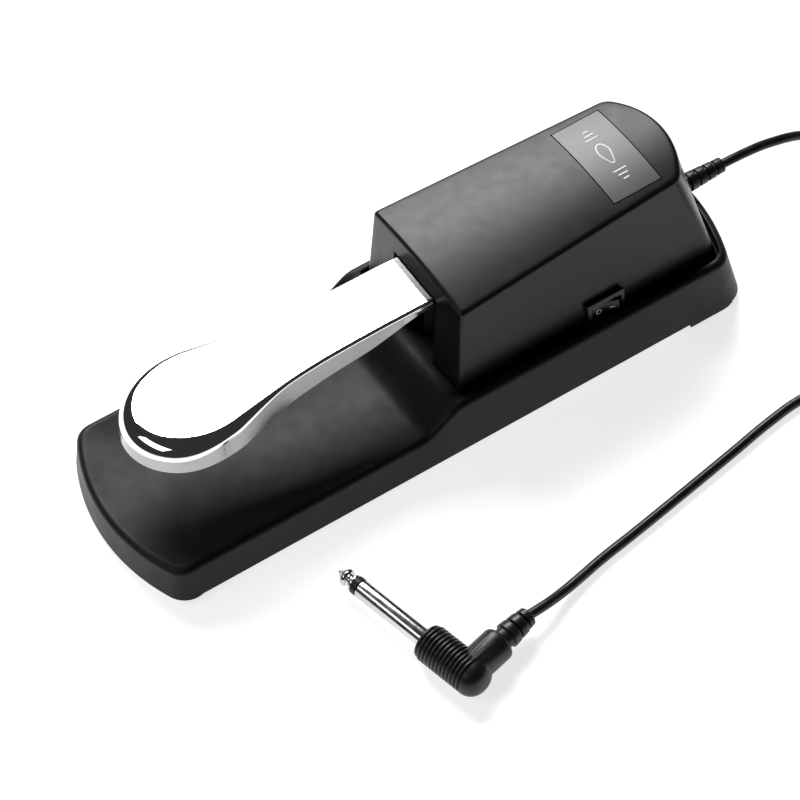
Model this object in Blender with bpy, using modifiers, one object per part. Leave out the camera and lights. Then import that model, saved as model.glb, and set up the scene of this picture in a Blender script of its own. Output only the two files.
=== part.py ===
"""Sustain pedal, in metres: +Y from the toe to the cord end, +X to the side with the polarity rocker,
+Z up, with the origin on the floor under the middle of the base."""

import math

import bmesh
import bpy
from mathutils import Matrix, Vector

MM = 0.001
GAP = 0.3 * MM

# Base
BASE_LENGTH = 240 * MM
BASE_HALF_WIDTH = 37.5 * MM
BASE_BOTTOM = 3 * MM
DECK_HEIGHT = 16.1 * MM
RIM_HEIGHT = 24.5 * MM
RISE_START = -16.5 * MM
RISE_END = 0.5 * MM
DISH_DEPTH = 2.8 * MM
TOE_SAGITTA = 9.5 * MM
REAR_SAGITTA = 8.0 * MM
TOE_CORNER = 8 * MM
REAR_CORNER = 9 * MM
WALL_INSET = 1.5 * MM
REAR_DRAFT = 2.6 * MM
RIM_RADIUS = 2.2 * MM
BASE_WALL = 2.5 * MM
PLINTH_FLOOR = 20 * MM
PLATE_THICK = 1.2 * MM

# Cover
COVER_FRONT = 2.0 * MM
COVER_FRONT_TOP = 6.4 * MM
COVER_REAR = 112.4 * MM
COVER_REAR_TOP = 104.5 * MM
COVER_HALF = 29.5 * MM
COVER_HALF_REAR = 30.0 * MM
COVER_HALF_TOP = 27.3 * MM
COVER_HALF_TOP_REAR = 22.4 * MM
COVER_SAGITTA = 5.2 * MM
COVER_SAGITTA_TOP = 8 * MM
COVER_CORNER = 3.4 * MM
COVER_CORNER_TOP = 6 * MM
COVER_EDGE_FRONT = 58.3 * MM
COVER_EDGE_REAR = 61.1 * MM
COVER_CROWN = 2.2 * MM
COVER_ROUND = 1.6 * MM
COVER_WALL = 2.2 * MM
COVER_LOW = PLINTH_FLOOR + GAP
RECESS_REAR = 113.2 * MM
RECESS_SAGITTA = 6.7 * MM
RECESS_CORNER = 5.5 * MM
SLOT_HALF_WIDTH = 13.1 * MM
SLOT_TOP = 52 * MM
LABEL_HALF_WIDTH = 18.6 * MM
LABEL_FRONT = 72.5 * MM
LABEL_REAR = 91.4 * MM
LABEL_THICK = 0.6 * MM

# Lever
LEVER_TOP = 51.2 * MM
LEVER_THICK = 1.8 * MM
LEVER_TOE = -100.7 * MM
PAD_CENTRE = -79 * MM
PAD_HALF_WIDTH = 17.8 * MM
NECK_HALF_WIDTH = 10.7 * MM
LEVER_TAIL = 72 * MM
PIVOT_Y = 48 * MM
PIVOT_Z = 43.5 * MM
AXLE_RADIUS = 2.5 * MM

# Spring and stops
SPRING_Y = 25 * MM
SPRING_RADIUS = 6 * MM
SPRING_WIRE = 0.7 * MM
SPRING_TURNS = 7
DOWN_STOP_Y = 12 * MM
LEVER_TRAVEL = math.radians(6)

# Bracket
BRACKET_HALF = 13.6 * MM
BRACKET_WALL = 1.5 * MM
BRACKET_LOW = PLINTH_FLOOR + GAP

# Microswitch
SWITCH_WIDTH = 10.3 * MM
SWITCH_LENGTH = 27.8 * MM
SWITCH_HEIGHT = 15.9 * MM
SWITCH_X = -BRACKET_HALF + BRACKET_WALL + GAP
SWITCH_REAR = 87 * MM
SWITCH_LOW = 31.5 * MM
SWITCH_MIDDLE = SWITCH_X + SWITCH_WIDTH / 2
LEAF_HINGE_Y = 84.5 * MM
LEAF_HINGE_Z = 48.0 * MM
SWITCH_TAGS = (63.2 * MM, 72.2 * MM, 82.2 * MM)

# Polarity rocker, in the frame of its mounting on the cover's right wall
ROCKER_PLACE = (29.0 * MM, 60.85 * MM, 26.2 * MM)
ROCKER_LEAN = math.radians(-6.9)
BEZEL_LENGTH = 15 * MM
BEZEL_HEIGHT = 10.5 * MM
ROCKER_AXIS_IN = 1.6 * MM
ROCKER_TILT = math.radians(10)
POLARITY_TAGS = (-4.7 * MM, 0.0, 4.7 * MM)

# Screws, as places in plan
COVER_SCREWS = [(23 * MM, 13 * MM), (-23 * MM, 13 * MM), (19 * MM, 97 * MM), (-19 * MM, 97 * MM)]
PLATE_SCREWS = [(26 * MM, -86 * MM), (-26 * MM, -86 * MM), (29 * MM, 70 * MM), (-29 * MM, 70 * MM)]
BRACKET_SCREWS = [(0, 38.5 * MM), (0, 57.5 * MM)]
CLAMP_SCREW = (9.5 * MM, 89.5 * MM)
SCREW_RADIUS = 1.4 * MM
SCREW_HOLE = 1.75 * MM

# Feet
FOOT_PLACE = (28.5 * MM, -104.8 * MM)
FOOT_RADIUS = 7.8 * MM
REAR_FOOT_START = 91.5 * MM
REAR_FOOT_WIDTH = 8 * MM

# Cord: 1.8 m from the relief to the plug, most of it in the coil
CORD_RADIUS = 1.75 * MM
RELIEF_X = 2.0 * MM
RELIEF_Z = 28.3 * MM
RELIEF_END = 128.6 * MM
COIL_CENTRE = Vector((66 * MM, 172 * MM, 7.6 * MM))
COIL_RADIUS = 19 * MM
COIL_BUNDLE = 6.8 * MM
TIE_ANGLE = math.radians(215)
CLAMPED_CORD_Z = 22.4 * MM

# Plug: its shaft points along the heading, and its cord leaves at a right angle
PLUG_SHOULDER = Vector((95.9 * MM, -53.9 * MM, 6.7 * MM))
PLUG_HEADING = math.radians(193.6)
PLUG_ELBOW = 17.8 * MM
PLUG_BODY_RADIUS = 6.6 * MM
PLUG_BARREL_RADIUS = 5.9 * MM
PLUG_BODY_LENGTH = 25.6 * MM
PLUG_RIBS = 13

BLACK_PLASTIC = ("black_plastic", (0.018, 0.018, 0.019), 0.45, 0.0)
COVER_PLASTIC = ("cover_plastic", (0.03, 0.03, 0.031), 0.38, 0.0)
LABEL_GREY = ("label_grey", (0.12, 0.12, 0.125), 0.4, 0.0)
CHROME = ("chrome", (0.9, 0.9, 0.9), 0.06, 1.0)
STEEL = ("steel", (0.6, 0.6, 0.6), 0.3, 1.0)
NICKEL = ("nickel", (0.8, 0.8, 0.78), 0.15, 1.0)
BRASS = ("brass", (0.75, 0.6, 0.3), 0.3, 1.0)
RUBBER = ("rubber", (0.012, 0.012, 0.012), 0.75, 0.0)
SWITCH_BLACK = ("switch_black", (0.014, 0.014, 0.014), 0.35, 0.0)
SWITCH_BODY = ("switch_body", (0.05, 0.05, 0.055), 0.5, 0.0)
PLUNGER_RED = ("plunger_red", (0.45, 0.03, 0.02), 0.45, 0.0)
CORD_JACKET = ("cord_jacket", (0.015, 0.015, 0.015), 0.3, 0.0)
WIRE_RED = ("wire_red", (0.5, 0.02, 0.02), 0.5, 0.0)
WIRE_WHITE = ("wire_white", (0.7, 0.7, 0.68), 0.5, 0.0)

for old in list(bpy.data.objects):
    bpy.data.objects.remove(old, do_unlink=True)

PARTS = bpy.data.collections.new("sustain_pedal")
CUTTERS = bpy.data.collections.new("cutters")
bpy.context.scene.collection.children.link(PARTS)
bpy.context.scene.collection.children.link(CUTTERS)


# Helpers


def material(look):
    """The look's material, made once."""
    name, colour, roughness, metallic = look
    found = bpy.data.materials.get(name)
    if found:
        return found
    made = bpy.data.materials.new(name)
    made.use_nodes = True
    shader = made.node_tree.nodes["Principled BSDF"]
    shader.inputs["Base Color"].default_value = (*colour, 1)
    shader.inputs["Roughness"].default_value = roughness
    shader.inputs["Metallic"].default_value = metallic
    return made


def place(name, data, look=None):
    """A new object: a part with a look, or a cutter without one."""
    obj = bpy.data.objects.new(name, data)
    if look is None:
        CUTTERS.objects.link(obj)
        obj.hide_render = True
        obj.display_type = "WIRE"
    else:
        PARTS.objects.link(obj)
        data.materials.append(material(look))
    return obj


def finish_mesh(name, bm, look=None, smooth=True):
    """Turns a bmesh into an object with its faces out."""
    bmesh.ops.recalc_face_normals(bm, faces=bm.faces)
    mesh = bpy.data.meshes.new(name)
    bm.to_mesh(mesh)
    bm.free()
    if smooth:
        mesh.shade_smooth()
        mesh.set_sharp_from_angle(angle=math.radians(35))
    return place(name, mesh, look)


def box(name, low, high, look=None, bevel=0.0, segments=2):
    """A box between two corners, with its edges rounded."""
    bm = bmesh.new()
    bmesh.ops.create_cube(bm, size=1)
    size = Vector(high) - Vector(low)
    bmesh.ops.scale(bm, vec=size, verts=bm.verts)
    bmesh.ops.translate(bm, vec=Vector(low) + size / 2, verts=bm.verts)
    if bevel:
        bmesh.ops.bevel(
            bm, geom=list(bm.edges), offset=bevel, segments=segments, profile=0.5, affect="EDGES"
        )
    return finish_mesh(name, bm, look)


AXES = {"X": Matrix.Rotation(math.pi / 2, 4, "Y"), "Y": Matrix.Rotation(-math.pi / 2, 4, "X"), "Z": Matrix()}


def cylinder(name, centre, radius, length, axis="Z", look=None, sides=24, top_radius=None):
    """A cylinder or a cone, centred on a point."""
    bm = bmesh.new()
    bmesh.ops.create_cone(
        bm,
        cap_ends=True,
        segments=sides,
        radius1=radius,
        radius2=radius if top_radius is None else top_radius,
        depth=length,
        matrix=Matrix.Translation(centre) @ AXES[axis],
    )
    return finish_mesh(name, bm, look)


def turned(name, profile, look=None, steps=24, closed=False):
    """A solid of revolution about local Z. The profile is (radius, height) from the top down."""
    bm = bmesh.new()
    verts = [bm.verts.new((radius, 0, height)) for radius, height in profile]
    pairs = list(zip(verts, verts[1:]))
    if closed:
        pairs.append((verts[-1], verts[0]))
    for pair in pairs:
        bm.edges.new(pair)
    mesh = bpy.data.meshes.new(name)
    bm.to_mesh(mesh)
    bm.free()
    obj = place(name, mesh, look)
    screw_modifier = obj.modifiers.new("Screw", "SCREW")
    screw_modifier.steps = screw_modifier.render_steps = steps
    screw_modifier.use_merge_vertices = True
    screw_modifier.merge_threshold = 0.00001
    screw_modifier.use_smooth_shade = True
    return obj


def aim(obj, origin, direction):
    """Puts a turned piece's origin on a point and its axis along a direction."""
    obj.location = origin
    obj.rotation_mode = "QUATERNION"
    obj.rotation_quaternion = direction.to_track_quat("Z", "Y")
    return obj


def flat_shape(name, points, low, high, look=None, turn=None):
    """A closed outline in local XY, filled and made solid from one local height to another."""
    data = bpy.data.curves.new(name + "_outline", "CURVE")
    data.dimensions = "2D"
    data.fill_mode = "BOTH"
    data.extrude = (high - low) / 2
    spline = data.splines.new("POLY")
    spline.points.add(len(points) - 1)
    for target, point in zip(spline.points, points):
        target.co = (point[0], point[1], 0, 1)
    spline.use_cyclic_u = True
    outline = bpy.data.objects.new(name + "_outline", data)
    CUTTERS.objects.link(outline)
    bpy.context.view_layer.update()
    evaluated = outline.evaluated_get(bpy.context.evaluated_depsgraph_get())
    mesh = bpy.data.meshes.new_from_object(evaluated)
    bm = bmesh.new()
    bm.from_mesh(mesh)
    bmesh.ops.remove_doubles(bm, verts=bm.verts, dist=1e-6)
    bmesh.ops.translate(bm, vec=(0, 0, (low + high) / 2), verts=bm.verts)
    bpy.data.objects.remove(outline, do_unlink=True)
    bpy.data.meshes.remove(mesh)
    shape = finish_mesh(name, bm, look)
    if turn:
        shape.matrix_world = turn
    return shape


def sideways(x):
    """Turns a local outline (x, y) into one in the YZ plane, made solid along X from a place."""
    return Matrix(((0, 0, 1, x), (1, 0, 0, 0), (0, 1, 0, 0), (0, 0, 0, 1)))


def lengthways(y):
    """Turns a local outline (x, y) into one in the XZ plane, made solid towards -Y from a place."""
    return Matrix(((1, 0, 0, 0), (0, 0, -1, y), (0, 1, 0, 0), (0, 0, 0, 1)))


def tube(name, points, radius, look, resolution=2):
    """A round wire along a list of points, with its ends closed."""
    data = bpy.data.curves.new(name, "CURVE")
    data.dimensions = "3D"
    data.bevel_depth = radius
    data.bevel_resolution = resolution
    data.use_fill_caps = True
    spline = data.splines.new("POLY")
    spline.points.add(len(points) - 1)
    for target, point in zip(spline.points, points):
        target.co = (*point, 1)
    return place(name, data, look)


def boolean(target, other, operation="DIFFERENCE"):
    modifier = target.modifiers.new(other.name, "BOOLEAN")
    modifier.operation = operation
    modifier.object = other
    return modifier


def smooth_route(points, spacing):
    """Evenly spaced points on a smooth curve through the given ones."""
    ends = [2 * points[0] - points[1], *points, 2 * points[-1] - points[-2]]
    dense = []
    for before, start, stop, after in zip(ends, ends[1:], ends[2:], ends[3:]):
        for step in range(24):
            t = step / 24
            dense.append(
                0.5
                * (
                    2 * start
                    + (stop - before) * t
                    + (2 * before - 5 * start + 4 * stop - after) * t**2
                    + (3 * start - before - 3 * stop + after) * t**3
                )
            )
    dense.append(points[-1])
    lengths = [0.0]
    for first, second in zip(dense, dense[1:]):
        lengths.append(lengths[-1] + (second - first).length)
    count = max(2, round(lengths[-1] / spacing))
    found = []
    place_at = 0
    for number in range(count + 1):
        wanted = lengths[-1] * number / count
        while place_at < len(lengths) - 2 and lengths[place_at + 1] < wanted:
            place_at += 1
        share = (wanted - lengths[place_at]) / (lengths[place_at + 1] - lengths[place_at])
        found.append(dense[place_at].lerp(dense[place_at + 1], share))
    return found


def smoothstep(value):
    value = min(max(value, 0.0), 1.0)
    return value * value * (3 - 2 * value)


def arc(centre, radius, start, stop, steps):
    """Points of an arc without its last one."""
    return [
        Vector(
            (
                centre[0] + radius * math.cos(start + (stop - start) * n / steps),
                centre[1] + radius * math.sin(start + (stop - start) * n / steps),
            )
        )
        for n in range(steps)
    ]


def mirrored_loop(right_side):
    """A closed loop from its right half, which starts and ends on the centre line."""
    left_side = [Vector((-point.x, point.y)) for point in right_side[1:-1]]
    return right_side + left_side[::-1]


def loft(rings, close_top=True, across=False):
    """A closed skin over rings of equal length. Without a top, the last ring folds together on a centre
    line. Caps made across join each point to the one that mirrors it, and bend along the part."""
    bm = bmesh.new()
    rows = [[bm.verts.new(point) for point in ring] for ring in rings]
    count = len(rows[0])
    for lower, upper in zip(rows, rows[1:]):
        for n in range(count):
            after = (n + 1) % count
            bm.faces.new((lower[n], lower[after], upper[after], upper[n]))
    for row in [rows[0], rows[-1]] if close_top else [rows[0]]:
        if not across:
            bm.faces.new(row)
            continue
        last = count // 2
        bm.faces.new((row[0], row[1], row[-1]))
        for n in range(1, last - 1):
            bm.faces.new((row[n], row[n + 1], row[-n - 1], row[-n]))
        bm.faces.new((row[last - 1], row[last], row[last + 1]))
    if not close_top:
        bmesh.ops.remove_doubles(bm, verts=bm.verts, dist=1e-6)
        bmesh.ops.dissolve_degenerate(bm, edges=bm.edges, dist=1e-7)
    return bm


# Base


def base_outline(inset, draft=0.0):
    """Plan of the base: straight sides between two arc-shaped ends, the rear one set in by its draft."""
    half = BASE_HALF_WIDTH - inset
    toe = -BASE_LENGTH / 2 + inset
    rear = BASE_LENGTH / 2 - inset - draft
    toe_radius = (half**2 + TOE_SAGITTA**2) / (2 * TOE_SAGITTA)
    rear_radius = (half**2 + REAR_SAGITTA**2) / (2 * REAR_SAGITTA)
    toe_corner = max(TOE_CORNER - inset / 2, 1 * MM)
    rear_corner = max(REAR_CORNER - inset / 2, 1 * MM)
    toe_y = toe + toe_radius - math.sqrt((toe_radius - toe_corner) ** 2 - (half - toe_corner) ** 2)
    rear_y = rear - rear_radius + math.sqrt((rear_radius - rear_corner) ** 2 - (half - rear_corner) ** 2)
    toe_turn = math.atan2(toe_y - toe - toe_radius, half - toe_corner)
    rear_turn = math.atan2(rear_y - rear + rear_radius, half - rear_corner)
    side = [-96, -80, -60, -40, -26, -18, -15, -12, -9, -6, -3, 0, 3, 30, 60, 90]
    points = arc((0, toe + toe_radius), toe_radius, -math.pi / 2, toe_turn, 7)
    points += arc((half - toe_corner, toe_y), toe_corner, toe_turn, 0, 4)
    points += [Vector((half, toe_y))]
    points += [Vector((half, y * MM)) for y in side]
    points += arc((half - rear_corner, rear_y), rear_corner, 0, rear_turn, 5)
    points += arc((0, rear - rear_radius), rear_radius, rear_turn, math.pi / 2, 7)
    points += [Vector((0, rear))]
    return mirrored_loop(points)


def rim_height(y):
    return DECK_HEIGHT + (RIM_HEIGHT - DECK_HEIGHT) * smoothstep((y - RISE_START) / (RISE_END - RISE_START))


def base_skin(inset, low, drop, ceiling):
    """The base's outer skin, or with an inset and a drop the skin of the hollow inside it."""
    outer = base_outline(inset)
    rings = [[(p.x, p.y, low) for p in outer]]
    for turn in (0, 30, 60, 90):
        angle = math.radians(turn)
        shrink = WALL_INSET + RIM_RADIUS * (1 - math.cos(angle))
        fall = RIM_RADIUS * (1 - math.sin(angle)) + drop
        ring = base_outline(inset + shrink, REAR_DRAFT)
        rings.append([(p.x, p.y, min(rim_height(p.y) - fall, ceiling)) for p in ring])
    rim = base_outline(inset + WALL_INSET + RIM_RADIUS, REAR_DRAFT)
    spine = 0.45 * BASE_LENGTH - 24 * MM
    for share in (0.12, 0.3, 0.55, 0.8, 1.0):
        ring = []
        for p in rim:
            centre = Vector((0, min(max(p.y, -spine), spine)))
            q = p.lerp(centre, share)
            dish = DISH_DEPTH * (1 - (1 - share) ** 2)
            ring.append((q.x, q.y, min(rim_height(q.y) - dish - drop, ceiling)))
        rings.append(ring)
    return loft(rings, close_top=False)


def cover_outline(level, inset=0.0, front_corner=1.5 * MM):
    """Plan of the cover at a level from 0 at its foot to 1 at its top edge."""
    half = COVER_HALF + (COVER_HALF_TOP - COVER_HALF) * level - inset
    half_rear = COVER_HALF_REAR + (COVER_HALF_TOP_REAR - COVER_HALF_REAR) * level - inset
    front = COVER_FRONT + (COVER_FRONT_TOP - COVER_FRONT) * level + inset
    rear = COVER_REAR + (COVER_REAR_TOP - COVER_REAR) * level - inset
    corner = max(COVER_CORNER + (COVER_CORNER_TOP - COVER_CORNER) * level - inset / 2, 1 * MM)
    front_corner = max(front_corner - inset / 2, 0.4 * MM)
    sagitta = COVER_SAGITTA + (COVER_SAGITTA_TOP - COVER_SAGITTA) * level
    radius = (half_rear**2 + sagitta**2) / (2 * sagitta)
    corner_y = rear - radius + math.sqrt((radius - corner) ** 2 - (half_rear - corner) ** 2)
    turn = math.atan2(corner_y - rear + radius, half_rear - corner)
    points = [Vector((half * share, front)) for share in (0, 0.25, 0.5, 0.75)]
    points += arc((half - front_corner, front + front_corner), front_corner, -math.pi / 2, 0, 3)
    start = Vector((half, front + front_corner))
    stop = Vector((half_rear, corner_y))
    points += [start.lerp(stop, share) for share in (0, 0.25, 0.5, 0.75)]
    points += arc((half_rear - corner, corner_y), corner, 0, turn, 5)
    points += arc((0, rear - radius), radius, turn, math.pi / 2, 6)
    points += [Vector((0, rear))]
    return mirrored_loop(points)


def cover_edge(y):
    """Height of the cover's top edge along its length."""
    share = (y - COVER_FRONT_TOP) / (COVER_REAR_TOP - COVER_FRONT_TOP)
    return COVER_EDGE_FRONT + (COVER_EDGE_REAR - COVER_EDGE_FRONT) * min(max(share, 0.0), 1.0)


def cover_half_top(y):
    share = (y - COVER_FRONT_TOP) / (COVER_REAR_TOP - COVER_FRONT_TOP)
    return COVER_HALF_TOP + (COVER_HALF_TOP_REAR - COVER_HALF_TOP) * min(max(share, 0.0), 1.0)


def cover_top(x, y):
    """Height of the crowned top."""
    share = min(abs(x) / cover_half_top(y), 1.0)
    return cover_edge(y) + COVER_CROWN * (1 - share**2)


def cover_skin(inset, low, drop):
    """The cover's outer skin, or with an inset and a drop the skin of the hollow inside it."""
    rings = [[(p.x, p.y, low) for p in cover_outline(0, inset)]]
    for turn in (0, 30, 60, 90):
        angle = math.radians(turn)
        ring = cover_outline(1, inset + COVER_ROUND * (1 - math.cos(angle)))
        fall = COVER_ROUND * (1 - math.sin(angle)) + drop
        rings.append([(p.x, p.y, cover_top(p.x, p.y) - fall) for p in ring])
    rim = cover_outline(1, inset + COVER_ROUND)
    for share in (0.2, 0.45, 0.7, 1.0):
        ring = []
        for p in rim:
            centre = Vector((0, min(max(p.y, COVER_FRONT_TOP + 20 * MM), COVER_REAR_TOP - 25 * MM)))
            if abs(p.y - COVER_FRONT_TOP - inset - COVER_ROUND) < 0.1 * MM:
                centre = Vector((0, COVER_FRONT_TOP + 20 * MM))
            q = p.lerp(centre, share)
            ring.append((q.x, q.y, cover_top(q.x, q.y) - drop))
        rings.append(ring)
    return loft(rings, close_top=False)



def make_base():
    base = finish_mesh("base_shell", base_skin(0, BASE_BOTTOM, 0, 1), BLACK_PLASTIC)
    ceiling = PLINTH_FLOOR - BASE_WALL
    boolean(base, finish_mesh("base_hollow", base_skin(BASE_WALL, -2 * MM, BASE_WALL, ceiling)))
    rings = [[(p.x, p.y, z) for p in recess_outline()] for z in (PLINTH_FLOOR, 30 * MM)]
    boolean(base, finish_mesh("cover_recess", loft(rings)))
    low = BASE_BOTTOM + PLATE_THICK + 2 * GAP
    for n, (x, y) in enumerate(PLATE_SCREWS):
        high = DECK_HEIGHT - 3.2 * MM if y < 0 else ceiling + 1 * MM
        post = cylinder(f"plate_post_{n}", (x, y, (low + high) / 2), 3.4 * MM, high - low, sides=16)
        boolean(base, post, "UNION")
        boolean(base, cylinder(f"plate_post_hole_{n}", (x, y, low), SCREW_HOLE, 13 * MM, sides=12))
    for n, (x, y) in enumerate([*COVER_SCREWS, *BRACKET_SCREWS, CLAMP_SCREW]):
        boolean(base, cylinder(f"floor_hole_{n}", (x, y, PLINTH_FLOOR), SCREW_HOLE, 9 * MM, sides=12))


def recess_outline():
    """Plan of the step that the cover stands in: parallel to the plinth's rim, square at the front."""
    inset = WALL_INSET + RIM_RADIUS + 0.9 * MM
    half = BASE_HALF_WIDTH - inset
    rear = RECESS_REAR
    corner = RECESS_CORNER
    radius = (half**2 + RECESS_SAGITTA**2) / (2 * RECESS_SAGITTA)
    corner_y = rear - radius + math.sqrt((radius - corner) ** 2 - (half - corner) ** 2)
    turn = math.atan2(corner_y - rear + radius, half - corner)
    front = COVER_FRONT - GAP
    points = [Vector((0, front))]
    points += arc((half - MM, front + MM), MM, -math.pi / 2, 0, 2)
    points += [Vector((half, front + MM))]
    points += arc((half - corner, corner_y), corner, 0, turn, 4)
    points += arc((0, rear - radius), radius, turn, math.pi / 2, 6)
    points += [Vector((0, rear))]
    return mirrored_loop(points)


def make_bottom_plate():
    outline = base_outline(BASE_WALL + WALL_INSET)
    z = BASE_BOTTOM + GAP
    rings = [[(p.x, p.y, height) for p in outline] for height in (z, z + PLATE_THICK)]
    plate = finish_mesh("bottom_plate", loft(rings), STEEL, smooth=False)
    for n, (x, y) in enumerate(PLATE_SCREWS):
        boolean(plate, cylinder(f"plate_hole_{n}", (x, y, z), SCREW_HOLE, 6 * MM, sides=12))


def make_feet():
    top = BASE_BOTTOM - GAP
    edge = 0.6 * MM
    profile = [(0, top), (FOOT_RADIUS, top), (FOOT_RADIUS, edge), (FOOT_RADIUS - edge, 0), (0, 0)]
    for name, side in (("front_foot_left", -1), ("front_foot_right", 1)):
        foot = turned(name, profile, RUBBER, 32)
        foot.location = (side * FOOT_PLACE[0], FOOT_PLACE[1], 0)
    loops = []
    for inset in (0.8 * MM, 0.8 * MM + REAR_FOOT_WIDTH):
        outline = base_outline(inset)
        rear_end = [p for p in outline[: len(outline) // 2 + 1] if p.y > REAR_FOOT_START]
        right_side = [Vector((BASE_HALF_WIDTH - inset, REAR_FOOT_START)), *rear_end]
        loops.append(right_side)
    outer = loops[0] + [Vector((-p.x, p.y)) for p in loops[0][-2::-1]]
    inner = loops[1] + [Vector((-p.x, p.y)) for p in loops[1][-2::-1]]
    flat_shape("rear_foot", outer + inner[::-1], 0, top, RUBBER)


# Cover


def make_cover():
    cover = finish_mesh("housing_cover", cover_skin(0, COVER_LOW, 0), COVER_PLASTIC)
    below = COVER_LOW - 5 * MM
    boolean(cover, finish_mesh("cover_hollow", cover_skin(COVER_WALL, below, COVER_WALL)))
    slot = box(
        "lever_slot",
        (-SLOT_HALF_WIDTH, -6 * MM, below),
        (SLOT_HALF_WIDTH, COVER_FRONT_TOP + 6 * MM, SLOT_TOP),
    )
    boolean(cover, slot)
    window = box("rocker_window", (-9 * MM, -6.8 * MM, -4.4 * MM), (9 * MM, 6.8 * MM, 4.4 * MM))
    window.parent = ROCKER_MOUNT
    boolean(cover, window)
    hole = cylinder("relief_hole", (RELIEF_X, COVER_REAR, RELIEF_Z), 3.8 * MM, 24 * MM, "Y", sides=20)
    boolean(cover, hole)
    boolean(cover, label_block("label_recess", 0.35 * MM, LABEL_THICK + 0.25 * MM, 3 * MM))
    for n, (x, y) in enumerate(COVER_SCREWS):
        high = cover_top(x, y) - 1.2 * MM
        post = cylinder(
            f"cover_post_{n}", (x, y, (high + COVER_LOW) / 2), 3.6 * MM, high - COVER_LOW, sides=16
        )
        boolean(cover, post, "UNION")
        boolean(cover, cylinder(f"cover_post_hole_{n}", (x, y, COVER_LOW), SCREW_HOLE, 24 * MM, sides=12))
    label_block("label_plate", -GAP, LABEL_THICK - 0.05 * MM, 0.05 * MM, LABEL_GREY)


def label_block(name, grow, depth, height, look=None):
    """A block bent to the crowned top: the label, or the recess that takes it."""
    bm = bmesh.new()
    bmesh.ops.create_grid(bm, x_segments=8, y_segments=2, size=0.5)
    sheet = list(bm.faces)
    for vert in bm.verts:
        x = vert.co.x * 2 * (LABEL_HALF_WIDTH + grow)
        y = (LABEL_FRONT + LABEL_REAR) / 2 + vert.co.y * (LABEL_REAR - LABEL_FRONT + 2 * grow)
        vert.co = (x, y, cover_top(x, y) - depth)
    lifted = bmesh.ops.extrude_face_region(bm, geom=sheet)
    top = [item for item in lifted["geom"] if isinstance(item, bmesh.types.BMVert)]
    bmesh.ops.translate(bm, vec=(0, 0, depth + height), verts=top)
    return finish_mesh(name, bm, look)


# Lever

LEVER_NECK = [
    (-79, 17.8),
    (-74, 17.4),
    (-69, 16.2),
    (-61, 14.4),
    (-50, 12.5),
    (-38, 11.4),
    (-25, 10.9),
    (-14, 10.7),
]


def lever_half_width(y):
    """Half width of the lever's flat top behind the pad, on a smooth curve through its stations."""
    stations = [Vector((station * MM, half * MM)) for station, half in LEVER_NECK]
    if y >= stations[-1].x:
        return NECK_HALF_WIDTH
    index = max(n for n, station in enumerate(stations) if station.x <= y)
    start = stations[index]
    stop = stations[index + 1]
    before = stations[max(index - 1, 0)]
    after = stations[min(index + 2, len(stations) - 1)]
    span = stop.x - start.x
    t = (y - start.x) / span
    slope_start = 0 if index == 0 else (stop.y - before.y) / (stop.x - before.x)
    slope_stop = (after.y - start.y) / (after.x - start.x)
    return (
        (2 * t**3 - 3 * t**2 + 1) * start.y
        + (t**3 - 2 * t**2 + t) * span * slope_start
        + (-2 * t**3 + 3 * t**2) * stop.y
        + (t**3 - t**2) * span * slope_stop
    )


def lever_edge_radius(y):
    """Radius of the rounded top edge: largest at the toe, small along the neck."""
    toe = smoothstep((PAD_CENTRE + 4 * MM - y) / (20 * MM))
    pad = smoothstep((-50 * MM - y) / (26 * MM))
    return (1.1 + 1.4 * pad + 1.7 * toe) * MM


def lever_skirt_bottom(y):
    """Height of the skirt's lower edge: deepest under the pad, gone before the housing."""
    pad = LEVER_TOP - 9.8 * MM
    neck = LEVER_TOP - 7.0 * MM
    along = pad + (neck - pad) * smoothstep((y + 70 * MM) / (60 * MM))
    plate = LEVER_TOP - LEVER_THICK
    return along + (plate - along) * smoothstep((y + 14 * MM) / (10 * MM))


def lever_outline(edge_share, grow):
    """Right half of the lever's plan, grown outwards by a share of its edge radius plus a distance."""
    flat = []
    for n in range(13):
        angle = -math.pi / 2 + math.pi / 2 * n / 12
        length = PAD_CENTRE - LEVER_TOE
        flat.append(Vector((PAD_HALF_WIDTH * math.cos(angle), PAD_CENTRE + length * math.sin(angle))))
    for y in (-75, -71, -67, -62, -56, -50, -43, -36, -28, -20, -14, -12, -10, -8, -6, -4, 0, 20, 45):
        flat.append(Vector((lever_half_width(y * MM), y * MM)))
    flat.append(Vector((NECK_HALF_WIDTH, LEVER_TAIL)))
    grown = []
    for n, point in enumerate(flat):
        before = flat[n - 1] if n else Vector((-flat[1].x, flat[1].y))
        after = flat[n + 1] if n + 1 < len(flat) else point + Vector((0, MM))
        along = (after - before).normalized()
        distance = edge_share * lever_edge_radius(point.y) + grow
        grown.append(point + Vector((along.y, -along.x)) * distance)
    grown[0].x = 0
    return mirrored_loop(grown + [Vector((0, LEVER_TAIL + 1.5 * MM))])


def lever_rings(inset, drop, low=None):
    rings = [[]]
    for p in lever_outline(1, 0.2 * MM - inset):
        rings[0].append((p.x, p.y, lever_skirt_bottom(p.y) if low is None else low))
    for turn in (0, 22.5, 45, 67.5, 90):
        angle = math.radians(turn)
        rings.append([])
        for p in lever_outline(math.cos(angle), -inset):
            fall = lever_edge_radius(p.y) * (1 - math.sin(angle)) + drop
            rings[-1].append((p.x, p.y, LEVER_TOP - fall))
    return rings


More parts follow.
